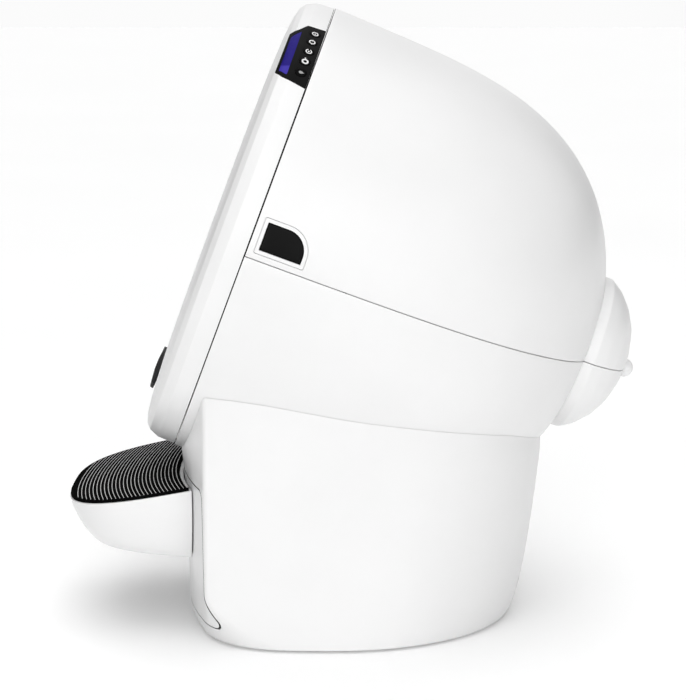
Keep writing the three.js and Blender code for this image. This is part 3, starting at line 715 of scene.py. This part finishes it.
def dense(outline, step=1.2):
    """A closed outline with extra points, so that it can bend over a surface."""
    outline = np.asarray(outline, float)
    out = []
    for a, b in zip(outline, np.roll(outline, -1, 0)):
        count = max(1, int(np.linalg.norm(b - a) / step))
        out += [a + (b - a) * k / count for k in range(count)]
    return np.array(out)


PANEL_FRONT = -39.4
PANEL_CORNERS = [  # angle and u, along the panel's slanting ends
    (42.9, -22), (43.9, -31.8), (45.7, PANEL_FRONT), (61.8, PANEL_FRONT), (62.3, -32), (64.5, -23),
]


def panel_outline(grow, rear):
    """The control panel's outline over the band and the chamfer, grown outwards."""
    corners = [(PANEL_FROM, rear)] + PANEL_CORNERS + [(PANEL_TO, rear)]
    loop = inset([(angle * PANEL_MM, u) for angle, u in corners], -grow)
    loop[[0, -1], 1] = rear
    return dense(rounded(loop, [1.0, 12, 12, 2.5, 2, 6, 2, 1.0], 6))


def button_axis(degrees):
    """Where a key's own axis meets the band, and its direction outwards."""
    c, s = polar(1, degrees)
    base = 1 / math.hypot(c / (288.5 * WIDE_RATIO), s / 288.5)
    place = Vector(tilted([(base * c, base * s, BUTTON_U)])[0])
    ahead = Vector(tilted([((base + 1) * c, (base + 1) * s, BUTTON_U)])[0])
    return place, (ahead - place).normalized()


def drill_keys(obj, behind, clearance):
    """Cuts a hole for each key, from some way behind the band."""
    for degrees in BUTTON_ANGLES:
        place, out = button_axis(degrees)
        boolean(obj, rod("hole", place - out * behind, place + out * 8, BUTTON_R + clearance))


def build_bezel():
    """The entry bezel, with a recess for the control panel and a hole for each key."""
    loop = BEZEL_OUTER + BEZEL_INNER
    profile = rounded(loop, OUTER_ROUNDING + INNER_ROUNDING, steps=5)
    bezel = full_turn("bezel_form", profile, wide=True, around=256)
    boolean(bezel, patch("recess", panel_outline(0.25, 3.0), band_surface(-5), band_surface(3), 6, 0.01))
    drill_keys(bezel, 9, 0.5)
    keep(bezel, "base", "bezel", WHITE)
    # Painted shade: the bezel's faces in the seam are near-black, for the shadow in the seam.
    paint(bezel, SEAM_SHADE, faces_seam)


LCD_CORNERS = [(44.4, -25.8), (61.7, -26.8), (59.2, -36.6), (45.9, -36.0)]  # angle and u


def build_panel():
    """The control panel's fascia, its display and its keys."""
    outline = panel_outline(0, -0.6)
    fascia = patch("control_fascia_form", outline, band_surface(-0.25), band_surface(2.6), 40, 0.5)
    corners = [(angle * PANEL_MM, u) for angle, u in LCD_CORNERS]
    window = dense(rounded(corners, 1.5, 5))
    boolean(fascia, patch("window", window, band_surface(-2), band_surface(1.2), 6, 0.01))
    drill_keys(fascia, 8, 0.4)
    keep(fascia, "base", "control_fascia", FASCIA)
    glass = patch("display_window_form", window, band_surface(-0.1), band_surface(1.1), 10, 0.3)
    keep(glass, "base", "display_window", DISPLAY)
    for index, degrees in enumerate(BUTTON_ANGLES, 1):
        build_button(index, degrees)


def flat_ring(inner, outer, start=0, end=360, steps=40):
    """A flat ring, or a part of one, as points and faces."""
    faces = []
    points = []
    full = abs(end - start) >= 360
    count = steps if full else steps + 1
    for i in range(count):
        for radius in (inner, outer):
            points.append(polar(radius, start + (end - start) * i / steps))
    for i in range(steps):
        j = (i + 1) % count
        faces.append((2 * i, 2 * i + 1, 2 * j + 1, 2 * j))
    return points, faces


def flat_disc(radius, centre=(0, 0), steps=32):
    """A flat disc as points and faces."""
    circle = [polar(radius, 360 * i / steps) for i in range(steps)]
    return flat_shape([(centre[0] + c, centre[1] + s) for c, s in circle])


def flat_shape(points):
    """A flat outline as points and one face."""
    return points, [tuple(range(len(points)))]


DROP = [(0, 3.6), (1.8, 0.6), (2.0, -1.2), (0.9, -2.6), (-0.9, -2.6), (-2.0, -1.2), (-1.8, 0.6)]
ICONS = {
    1: [flat_ring(2.6, 4.0), flat_disc(0.9)],
    2: [flat_ring(2.5, 3.9, 15, 150), flat_ring(2.5, 3.9, 195, 330),
        flat_shape([(1.5, 0.6), (5.0, 0.6), (3.2, -1.6)]),
        flat_shape([(-1.5, -0.6), (-5.0, -0.6), (-3.2, 1.6)])],
    3: [flat_ring(2.6, 3.9, 200, 520), flat_disc(1.1)],
    4: [flat_ring(2.1, 4.1), flat_disc(0.9, (-5.2, -1.0))],
    5: [flat_shape(DROP)],
}
DIM_ICON = 5
KEY_TOP, KEY_EDGE = 0.8, 0.9
ICON_HEIGHTS = (0.62, 0.88)


def add_icon(work, place, out, along, side, shapes):
    """Raises flat shapes from a key's top, in the key's second material."""
    for points, faces in shapes:
        made = []
        for height in ICON_HEIGHTS:
            middle = place + out * height
            made.append([work.verts.new((middle - side * a + along * b) / 1000) for a, b in points])
        low, high = made
        for face in faces:
            work.faces.new([high[i] for i in face]).material_index = 1
            work.faces.new([low[i] for i in reversed(face)]).material_index = 1
        edges = [pair for face in faces for pair in zip(face, face[1:] + face[:1])]
        for a, b in edges:
            if (b, a) not in edges:
                work.faces.new([low[a], low[b], high[b], high[a]]).material_index = 1


def build_button(index, degrees):
    """A round key with a soft edge and a raised generic icon on its top."""
    place, out = button_axis(degrees)
    side = out.cross(AXIS).normalized()
    along = side.cross(out).normalized()
    profile = [(-6.9, 0.4), (-6.9, BUTTON_R)]
    for k in range(6):
        c, s = polar(KEY_EDGE, 90 * k / 5)
        profile.append((KEY_TOP - KEY_EDGE + s, BUTTON_R - KEY_EDGE + c))
    profile += [(0.7, 3.0), (0.66, 0.4)]
    name = "button_%d" % index
    key = lathe(name + "_form", place, out, along, side, profile, 48)
    key.data.materials.append(KEY)
    key.data.materials.append(ICON_DIM if index == DIM_ICON else ICON)
    work = bmesh.new()
    work.from_mesh(key.data)
    add_icon(work, place, out, along, side, ICONS[index])
    work.to_mesh(key.data)
    work.free()
    keep(key, name, name, None)


def build_guard_and_seal():
    """The rubber guard at the foot of the entry, and the seal behind the bezel."""
    loop = [
        (-BEZEL_FRONT - 0.6, 227), (-52.6, 226), (-54.2, 208), (-54.3, 192), (-53.4, 178),
        (-50.5, 178), (-50, 194), (-BEZEL_FRONT - 0.6, 200),
    ]
    profile = rounded(loop, [0.6, 1.8, 20, 20, 1.2, 1.2, 8, 0.6], steps=5)
    guard = part_turn("entry_guard_form", profile, -130, -50, edge=0.3, steps=120)
    start, end = tilted([(0, -348, -40), (0, -348, -70)])
    boolean(guard, rod("lens", start, end, 170, around=256), "INTERSECT")
    keep(guard, "base", "entry_guard", RUBBER, 40)
    ring = [(-1.4, ENTRY_R + 0.5), (4, ENTRY_R + 0.5), (4, ENTRY_R + 6), (-1.4, ENTRY_R + 6)]
    seal = full_turn("entry_seal_form", rounded(ring, 1.5, 4), around=128)
    keep(seal, "base", "entry_seal", RUBBER)


# ---- globe
def globe_radius(u):
    """The globe's outer radius over u: half an ellipse behind its widest place and one in front."""
    u = np.asarray(u, float)
    rear = np.clip((u - GLOBE_WIDEST) / (GLOBE_REAR - GLOBE_WIDEST), 0, 1)
    front = np.clip((GLOBE_WIDEST - u) / (GLOBE_WIDEST - GLOBE_FRONT), 0, 1)
    behind = GLOBE_R * np.sqrt(np.maximum(1 - rear**2, 0))
    ahead = GLOBE_MOUTH_R + (GLOBE_R - GLOBE_MOUTH_R) * np.sqrt(np.maximum(1 - front**2, 0))
    return np.where(u >= GLOBE_WIDEST, behind, ahead)


def globe_profile(stations, inwards):
    """The globe's profile of (u, r), moved inwards."""
    stations = np.asarray(stations, float)
    rear = (stations - GLOBE_WIDEST) / (GLOBE_REAR - GLOBE_WIDEST)
    shift = np.where(rear > 0, -inwards * rear**3, 0)
    return np.stack([stations + shift, np.maximum(globe_radius(stations) - inwards, 0.4)], 1)


def globe_loop(stations, outer, inner):
    """A closed loop between two depths under the globe's surface, its corners softened."""
    loop = np.concatenate([globe_profile(stations, outer), globe_profile(stations, inner)[::-1]])
    radii = [0.0] * len(loop)
    for corner in (0, len(stations) - 1, len(stations), len(loop) - 1):
        radii[corner] = 0.6
    return rounded(loop, radii, steps=2)


def build_globe():
    """The globe's front shell, its rear shell with the waste port, and the litter liner inside."""
    front_end, rear_start = GLOBE_SEAM - 0.2, GLOBE_SEAM + 0.2
    front = GLOBE_FRONT + (front_end - GLOBE_FRONT) * np.linspace(0, 1, 26) ** 2
    shell = full_turn("globe_front_shell_form", globe_loop(front, 0, GLOBE_WALL), around=144)
    keep(shell, "globe", "globe_front_shell", GLOBE)
    rear = rear_start + (GLOBE_REAR - rear_start) * np.sin(np.linspace(0, math.pi / 2, 40))
    outer = globe_profile(rear, 0)
    inner = globe_profile(rear, GLOBE_WALL)
    shell = turned_solid("globe_rear_shell_form", np.concatenate([inner[::-1], outer]), around=144)
    port = stacked(
        "port",
        [tilted([(-60, v, 165), (60, v, 165), (60, v, 275), (-60, v, 275)]) for v in (120, 400)],
    )
    boolean(shell, port)
    keep(shell, "globe", "globe_rear_shell", GLOBE)
    stations = np.linspace(78, 310, 40)
    loop = globe_loop(stations, GLOBE_WALL + 0.5, GLOBE_WALL + 3.5)
    liner = part_turn("litter_liner_form", loop, -145, -35, steps=72)
    keep(liner, "globe", "litter_liner", RUBBER)


# ---- base
REAR_STEPS, SIDE_STEPS, CORNER_STEPS, FRONT_STEPS = 40, 28, 14, 44
BASE_FULL_Z = 209  # the height where the base has its full width
FOOT_Z, FRONT_FOOT_Z = 66, 20  # the heights below which its corners and its front draw in


def base_size(z):
    """The base's half width, depth and corners at some heights."""
    z = np.asarray(z, float)
    height = z / BASE_FULL_Z
    rise = np.clip(height, 0, 1) ** 0.55
    foot = np.clip((FOOT_Z - z) / (FOOT_Z - BASE_BOTTOM), 0, None) ** 1.5
    front_foot = np.clip((FRONT_FOOT_Z - z) / (FRONT_FOOT_Z - BASE_BOTTOM), 0, None) ** 2
    return {
        "half": 235 + 15 * rise,
        "rear": 217 + 39 * rise,
        "square": 2 + 0.45 * rise,
        "mid_y": -204.7 - 8.5 * np.minimum(1, height) ** 3 + 6 * front_foot,
        "corner_y": CORNER_Y + 23 * foot,
        "cut": 5 + 62 * foot,
    }


def side_x(y, half):
    """The half width at y of the base's gently bowed side."""
    return half * np.sqrt(1 - ((y - BASE_MID_Y) / SIDE_REACH) ** 2)


def bow_y(x, z, inwards):
    """The base's front surface at some x and height, moved inwards."""
    size = base_size(z)
    corner_y = size["corner_y"] + inwards
    corner_x = side_x(corner_y, size["half"] - inwards)
    mid_y = size["mid_y"] + inwards
    return mid_y + (corner_y - mid_y) * (x / corner_x) ** 2


def base_outline(z, inwards=0.0):
    """The base's outline; z is one height, or a height for each of its points."""
    count = REAR_STEPS + SIDE_STEPS + CORNER_STEPS + FRONT_STEPS + 1
    z = np.broadcast_to(np.asarray(z, float), (2 * count - 2,))
    out = np.empty((2 * count - 2, 3))
    out[:, 2] = z
    mirrored = np.concatenate([z[:1], z[:count - 1:-1], z[count - 1:count]])
    for side, heights in ((1, z[:count]), (-1, mirrored)):
        size = base_size(heights)
        half, rear = size["half"] - inwards, size["rear"] - inwards
        corner_y = size["corner_y"] + inwards
        cut = np.maximum(1, size["cut"] - inwards)
        corner_x = side_x(corner_y, half)
        x, y = np.empty(count), np.empty(count)
        part = slice(0, REAR_STEPS + 1)
        turn = np.radians(90 - 90 * np.arange(REAR_STEPS + 1) / REAR_STEPS)
        power = 2 / size["square"][part]
        x[part] = half[part] * np.maximum(0, np.cos(turn)) ** power
        y[part] = BASE_MID_Y + rear[part] * np.maximum(0, np.sin(turn)) ** power
        part = slice(part.stop, part.stop + SIDE_STEPS)
        share = np.arange(1, SIDE_STEPS + 1) / SIDE_STEPS
        y[part] = BASE_MID_Y + (corner_y + cut - BASE_MID_Y)[part] * share
        x[part] = side_x(y[part], half[part])
        part = slice(part.stop, part.stop + CORNER_STEPS)
        t = np.arange(1, CORNER_STEPS + 1) / CORNER_STEPS
        before_y = (corner_y + cut)[part]
        after_x = (corner_x - cut)[part]
        weights = ((1 - t) ** 2, 2 * t * (1 - t), t * t)
        ends_x = (side_x(before_y, half[part]), corner_x[part], after_x)
        ends_y = (before_y, corner_y[part], bow_y(after_x, heights[part], inwards))
        x[part] = sum(w * e for w, e in zip(weights, ends_x))
        y[part] = sum(w * e for w, e in zip(weights, ends_y))
        part = slice(part.stop, count)
        x[part] = (corner_x - cut)[part] * (1 - np.arange(1, FRONT_STEPS + 1) / FRONT_STEPS)
        y[part] = bow_y(x[part], heights[part], inwards)
        if side == 1:
            out[:count, 0], out[:count, 1] = x, y
        else:
            out[count:, 0], out[count:, 1] = -x[-2:0:-1], y[-2:0:-1]
    return out


def inside_housing(points, outwards):
    """How far points of the object's frame are inside the housing, in millimetres."""
    local = to_tilted(points)
    x, v, u = local[:, 0], local[:, 1], local[:, 2]
    front = np.clip((LOW_REACH - u) / LOW_REACH, 0, 1)
    r = np.hypot(x, v)
    for _ in range(12):
        share = np.clip((r - WIDE_FROM_R) / (HOUSING_R - WIDE_FROM_R), 0, 1)
        low = np.where(v < 0, 1 + (LOW_RATIO - 1) * share * front, 1)
        r = np.hypot(x / (1 + (WIDE_RATIO - 1) * share), v / low)
    limit = np.where(u < GAP, HOUSING_R, dome_radius(np.maximum(u, GAP))) + outwards
    return limit - r


def housing_heights(inwards, outwards):
    """For each point of the base's outline, the height where its wall meets the housing."""
    count = len(base_outline(50))
    low, high = np.full(count, 60.0), np.full(count, float(BASE_TOP))
    for _ in range(17):
        middle = (low + high) / 2
        inside = inside_housing(base_outline(middle, inwards), outwards) > 0
        high = np.where(inside, middle, high)
        low = np.where(inside, low, middle)
    return (low + high) / 2


def wall_rings(bottom, inwards, levels, power=1.0):
    """Rings of the base's wall from its bottom up to the housing."""
    tops = housing_heights(inwards, 0.5)
    shares = (np.arange(levels + 1) / levels) ** power
    return [base_outline(bottom + (tops - bottom) * share, inwards) for share in shares]


def base_volume(name, inwards):
    """The base as a plain solid, for cutting."""
    spans = (np.linspace(BASE_BOTTOM, 12, 6), np.linspace(16, 70, 16), np.linspace(78, 250, 24))
    return stacked(name, [base_outline(z, inwards) for z in np.concatenate(spans)])


OPENING_GROW, DOOR_SHRINK = 1.3, 0.3  # from the door's stated outline to its opening and its edge
DOOR_AHEAD, DOOR_BEHIND, OPENING_BEHIND = -260, -150, -140  # y, ahead of the wall and behind it
TRAY_HALF, TRAY_FRONT, TRAY_REAR, TRAY_CORNER = 188, -166, 92, 45


def door_outline(grow, steps=8):
    """The drawer door's rounded outline as (x, z), grown outwards."""
    r = DOOR_CORNER + grow
    x, z0, z1 = DRAWER_HALF + grow - r, DRAWER_BOTTOM - grow + r, DRAWER_TOP + grow - r
    out = []
    for corner, (cx, cz) in enumerate(((x, z1), (-x, z1), (-x, z0), (x, z0))):
        for i in range(steps + 1):
            c, s = polar(r, 90 * corner + 90 * i / steps)
            out.append((cx + c, cz + s))
    return out


def door_prism(name, grow, y0, y1):
    """The door's outline, drawn out along y."""
    outline = dense(door_outline(grow), 6)
    return stacked(name, [[(x, y, z) for x, z in outline] for y in (y0, y1)])


def build_base():
    """The pedestal: a wall that meets the housing, open for the drawer and the power inlet."""
    outer = wall_rings(BASE_BOTTOM, 0, 84, 1.35)
    inner = wall_rings(BASE_BOTTOM + WALL, WALL, 40)
    foot = [base_outline(BASE_BOTTOM, 2.5), base_outline(BASE_BOTTOM + 0.4, 0.7)]
    outer[0] = base_outline(BASE_BOTTOM + 1.2, 0.0)
    pedestal = stacked("pedestal_form", foot + outer + inner[::-1])
    boolean(pedestal, door_prism("opening", OPENING_GROW, DOOR_AHEAD, OPENING_BEHIND))
    x, _, z = inlet_centre()
    boolean(pedestal, rod("jack_hole", (x, 150, z), (x, 240, z), 6.6))
    keep(pedestal, "base", "pedestal", WHITE)


def inlet_centre():
    """The middle of the power inlet, in millimetres."""
    low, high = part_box("power_inlet")
    return (low + high) * 500


def build_inlet():
    """The round power inlet at the rear, with its pin."""
    low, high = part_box("power_inlet")
    x, _, z = inlet_centre()
    length = (high.y - low.y) * 1000
    profile = [
        (0, 0.3), (0, 6.2), (length - 0.8, 6.2), (length, 5.4), (length, 3.4), (length - 0.4, 3.0),
        (length - 7, 3.0), (length - 7, 0.8), (length - 1.5, 0.8), (length - 1.0, 0.3),
    ]
    place = Vector((x, low.y * 1000, z))
    along_x, along_y, along_z = Matrix.Identity(3)
    inlet = lathe("power_inlet_form", place, along_y, along_x, along_z, profile, 40)
    keep(inlet, "base", "power_inlet", DARK)


def door_edge(centre, normal):
    """Whether a face looks into the gap at the door's sides or top, and so gets painted shade."""
    return abs(normal.y) < 0.2 and (abs(centre.x) > 0.15 or centre.z > 0.15)


def tray_ring(inwards, z):
    """The tray's outline at a height: square in front, with round corners at the rear."""
    half, front, corner = TRAY_HALF - inwards, TRAY_FRONT + inwards, TRAY_CORNER - inwards
    out = [(half, front)]
    for side, start in ((1, 0), (-1, 90)):
        for i in range(17):
            c, s = polar(corner, start + 90 * i / 16)
            out.append((side * (TRAY_HALF - TRAY_CORNER) + c, TRAY_REAR - TRAY_CORNER + s))
    out.append((-half, front))
    return np.array([(x, y, z) for x, y in out])


def build_drawer():
    """The drawer's door, which follows the pedestal's wall, and the tray behind it."""
    door = base_volume("drawer_front_form", 0)
    boolean(door, base_volume("hollow", DOOR_SKIN))
    boolean(door, door_prism("edge", -DOOR_SHRINK, DOOR_AHEAD, DOOR_BEHIND), "INTERSECT")
    blocks = []
    for x in (-120, 120):
        corners = [(x - 12, 40), (x + 12, 40), (x + 12, 110), (x - 12, 110)]
        block = stacked("block", [[(a, y, z) for a, z in corners] for y in (-240, -166.4)])
        boolean(block, base_volume("inside", 1.5), "INTERSECT")
        blocks.append(block)
    door = joined("drawer_front_form", [door] + blocks)
    keep(door, "drawer", "drawer_front", WHITE)
    # Painted shade: the door's edge faces in the gap are near-black, for the shadow inside the gap.
    paint(door, SEAM_SHADE, door_edge)
    rings = [
        tray_ring(inwards, z)
        for inwards, z in (
            (1.5, 28), (0.4, 28.5), (0, 29.6), (0, 117.4), (0.6, 118),
            (1.9, 118), (2.5, 117.4), (2.5, 31.5), (3.5, 30.5),
        )
    ]
    keep(stacked("drawer_tray_form", rings), "drawer", "drawer_tray", DARK)


# ---- step
STEP_REACH = STEP_REAR_Y - STEP_TIP_Y


def step_top(y):
    """The height of the step's sloping tread."""
    return STEP_TIP_Z + (y - STEP_TIP_Y) * STEP_SLOPE


def hull_top(y):
    """The height of the step's body under its mat."""
    return step_top(y) - MAT_THICK - GAP


def hull_bottom(y):
    """The height of the step's underside."""
    share = (y - STEP_TIP_Y) / STEP_REACH
    return STEP_TIP_BOTTOM_Z + share * (STEP_REAR_BOTTOM_Z - STEP_TIP_BOTTOM_Z)


def hull_scale(t):
    """How much of its full outline the step's body has at a share of its height."""
    side = (1 - (1 - t) ** HULL_BULGE) ** (1 / HULL_BULGE)
    return HULL_FLOOR + (1 - HULL_FLOOR) * side


def squared(value):
    """Bends a sine or cosine towards the step's squared oval."""
    return math.copysign(abs(value) ** (2 / STEP_SQUARE), value)


STEP_CORNER = 3.0


def step_outline(scale, gap, z_of, front_steps=96, rear_steps=48, trim=0.0):
    """The step's outline: the squared half oval in front, and the base's bow behind."""
    half = (STEP_HALF - trim) * scale
    reach = (STEP_REACH - trim) * scale
    out = []
    for i in range(front_steps + 1):
        turn = math.radians(-90 + 180 * i / front_steps)
        out.append((half * squared(math.sin(turn)), STEP_REAR_Y - reach * squared(max(math.cos(turn), 0))))
    rear_z = z_of(STEP_REAR_Y)
    for i in range(rear_steps + 1):
        x = (half - STEP_CORNER * 0.3) * (1 - 2 * i / rear_steps)
        edge = max(0.0, (abs(x) - (half - STEP_CORNER)) / STEP_CORNER)
        out.append((x, bow_y(x, rear_z, -gap) - STEP_CORNER * 0.5 * edge**2))
    return np.array([(x, y, z_of(y)) for x, y in out])


def build_step():
    """The step's hollow body, and the mat on it."""

    def level(t, gap, inwards):
        def height(y):
            return hull_bottom(y) - inwards + (hull_top(y) - hull_bottom(y)) * t

        return step_outline(hull_scale(t), gap, height, trim=inwards)

    def top_ring(trim, drop, gap):
        return step_outline(1, gap, lambda y: hull_top(y) - drop, trim=trim)

    shares = [0, 0.004, 0.012, 0.03, 0.06, 0.1, 0.15, 0.21]
    shares += [0.28, 0.36, 0.45, 0.54, 0.63, 0.72, 0.81, 0.9, 0.97]
    wall = 3.5
    rings = [level(t, 4.5, wall) for t in shares[::-1]]
    rings += [step_outline(HULL_FLOOR, 4.0, hull_bottom, trim=2.4)]
    rings += [level(t, 1.0, 0) for t in shares]
    rings += [top_ring(0, 0.9, 1.0), top_ring(0.25, 0.3, 1.2), top_ring(0.9, 0, 1.8)]
    keep(stacked("step_hull_form", rings), "drawer", "step_hull", WHITE, 40)
    build_mat()


RIB_PITCH = 4.65
RIB_BOW = 780  # radius of each rib's bow
RIB_FOOT = 1.9  # how far each rib reaches down into the mat
RIB_SECTION = [  # across the rib, and up from the tread's full height
    (-0.6, -1.9), (-0.52, -0.5), (-0.38, -0.12), (-0.16, -0.04),
    (0.16, -0.04), (0.38, -0.12), (0.52, -0.5), (0.6, -1.9),
]
MAT_REAR_GAP = 5.5
MAT_SCALE = 0.995
RIB_MARGIN = 2.8  # from the mat's outline to the ribs' ends


def rib_y(middle, x):
    """Where a rib lies at x, along its bow."""
    return middle + x * x / (2 * RIB_BOW)


def rib_end(middle, half, reach):
    """How far a rib runs to each side before it meets the mat's rim."""
    low, high = 0.0, half
    for _ in range(30):
        x = (low + high) / 2
        forward = max(0.0, STEP_REAR_Y - rib_y(middle, x)) / reach
        if (x / half) ** STEP_SQUARE + forward**STEP_SQUARE < 1:
            low = x
        else:
            high = x
    return low


def build_rib(middle, end):
    """One rib of the mat, fading into it at both ends, its flanks in the first material and its top in the second,
    a painted highlight.
    """
    rings = []
    stations = [-1.0, -0.995, -0.985] + list(np.linspace(-0.96, 0.96, 61)) + [0.985, 0.995, 1.0]
    for share in stations:
        x = end * share
        slope = x / RIB_BOW
        length = math.hypot(1, slope)
        fade = min(1.0, (1 - abs(share)) * end / 1.6 + 0.25)
        ring = []
        for a, up in RIB_SECTION:
            px, py = x - a * slope / length, rib_y(middle, x) + a / length
            ring.append((px, py, step_top(py) - RIB_FOOT + (RIB_FOOT + up) * fade))
        rings.append(ring)
    rib = stacked("rib", rings)
    # Faces that look upwards take the painted highlight; the flanks stay black.
    for face in rib.data.polygons:
        face.material_index = int(face.normal.z > 0.55)
    return rib


def build_mat():
    """The step's ribbed rubber mat."""

    def ring(trim, drop):
        return step_outline(MAT_SCALE, MAT_REAR_GAP + trim, lambda y: step_top(y) - drop, trim=trim)

    slab = [
        (0.4, MAT_THICK), (0, MAT_THICK - 0.5), (0, 1.4), (0.25, 0.7),
        (0.9, 0.3), (1.8, 0.25), (2.4, 0.5), (RIB_MARGIN, 1.1),
    ]
    parts = [stacked("slab", [ring(trim, drop) for trim, drop in slab])]
    half, reach = STEP_HALF * MAT_SCALE - RIB_MARGIN, STEP_REACH * MAT_SCALE - RIB_MARGIN
    first = bow_y(0, step_top(STEP_REAR_Y), -MAT_REAR_GAP) - 4.2
    count = int((first - (STEP_REAR_Y - reach)) / RIB_PITCH)
    for j in range(count + 1):
        middle = first - j * RIB_PITCH
        end = rib_end(middle, half, reach)
        if STEP_REAR_Y - middle <= reach - 2 and end >= 6:
            parts.append(build_rib(middle, end))
    mat = joined("step_mat_form", parts)
    mat.data.materials.append(MAT_BASE)
    # The second material is the painted highlight on the ribs' tops.
    mat.data.materials.append(MAT_RIB_GLINT)
    keep(mat, "drawer", "step_mat", None, 50)


# ---- CAD nodes that stay
SLOT_MATERIALS = {
    "white_shell": WHITE,
    "black_panel": FASCIA,
    "display": DISPLAY,
    "button_grey": KEY,
    "circuit_board": BOARD,
    "black_rubber": RUBBER,
    "grey_plastic": GREY,
    "globe_plastic": GLOBE,
    "dark_plastic": DARK,
    "steel": STEEL,
    "carbon": CARBON,
}


def finish_cad_nodes():
    """Gives the CAD model's own meshes their slots' materials."""
    for part in frame["record"]["subparts"]:
        node = frame["nodes"][part["node"]]
        material = SLOT_MATERIALS[part["material_slot"]]
        if node.data.materials:
            for i in range(len(node.data.materials)):
                node.data.materials[i] = material
        else:
            node.data.materials.append(material)


# ---- stage, light and camera
FLOOR_GLOW = 0.11  # the paper on the floor shines a little, as if it were lit from behind


FLOOR_HALF = 90000


def build_stage():
    """A wide white floor."""
    corners = [(x * FLOOR_HALF, y * FLOOR_HALF, 0) for x, y in ((-1, -1), (1, -1), (1, 1), (-1, 1))]
    floor = mesh_object("floor", corners, [(0, 1, 2, 3)])
    paper = plain("floor_paper", grey(0.93), grey(0.95), (0.8, 0.9), 300, 0.00001, 0.6)
    shader = next(node for node in paper.node_tree.nodes if node.type == "BSDF_PRINCIPLED")
    shader.inputs["Emission Color"].default_value = (1, 1, 1, 1)
    shader.inputs["Emission Strength"].default_value = FLOOR_GLOW
    floor.data.materials.append(paper)


def aimed(name, data, place, aim):
    """A light or a camera at a place, looking at another."""
    obj = linked(name, data)
    obj.location = place
    direction = Vector(aim) - Vector(place)
    obj.rotation_euler = direction.to_track_quat("-Z", "Y").to_euler()
    return obj


def world_maths(tree, operation, *values):
    """One sum or other step of arithmetic in the world's nodes."""
    node = tree.nodes.new("ShaderNodeMath")
    node.operation = operation
    for i, value in enumerate(values):
        tree.links.new(value, node.inputs[i])
    return node.outputs["Value"]


# Each light of the world grows or fades over a span of direction: from, to, and its strength at both.
FLAGS = (0.12, 0.66, 0.97, 0.0)
FILL = (0.45, 0.97, 0.0, 1.72)
CEILING = (0.7, 0.97, 0.0, 1.06)
OVERHEAD_SIDE, OVERHEAD_POWER = 3.4, 8


def build_light():
    """A white studio with dark flags to the object's front and rear, and soft light overhead."""
    world = bpy.data.worlds.new("studio")
    world.use_nodes = True
    tree = world.node_tree
    background = tree.nodes["Background"]
    coordinates = tree.nodes.new("ShaderNodeTexCoord")
    split = add_node(tree, "SeparateXYZ", {}, {"Vector": coordinates.outputs["Generated"]})
    sideways = world_maths(tree, "ABSOLUTE", split.outputs["Y"])
    flags = ramp(tree, sideways, *FLAGS, "SMOOTHSTEP")
    fill = ramp(tree, split.outputs["X"], *FILL, "SMOOTHSTEP")
    ceiling = ramp(tree, split.outputs["Z"], *CEILING, "SMOOTHSTEP")
    total = world_maths(tree, "ADD", world_maths(tree, "ADD", flags, fill), ceiling)
    tree.links.new(total, background.inputs["Strength"])
    background.inputs["Color"].default_value = (1, 1, 1, 1)
    bpy.context.scene.world = world
    panel = bpy.data.lights.new("overhead", "AREA")
    panel.shape = "RECTANGLE"
    panel.size = panel.size_y = OVERHEAD_SIDE
    panel.energy = OVERHEAD_POWER
    aimed("overhead", panel, (0.2, 0, 3.2), (0, 0, 0.3))


CAMERA_PLACE = (2.7619, -0.0296, 0.7438)
CAMERA_AIM = (0, -0.0120, 0.3228)
CAMERA_LENS = 114.98


def build_camera():
    """A camera that looks at the object's side through a long lens."""
    data = bpy.data.cameras.new("camera")
    data.lens = CAMERA_LENS
    data.sensor_width = 36
    bpy.context.scene.camera = aimed("camera", data, CAMERA_PLACE, CAMERA_AIM)
    bpy.context.scene.view_settings.view_transform = "Standard"


build_bonnet()
build_tabs()
build_tub()
build_hub()
build_bezel()
build_panel()
build_guard_and_seal()
build_globe()
build_base()
build_inlet()
build_drawer()
build_step()
finish_cad_nodes()
build_stage()
build_light()
build_camera()
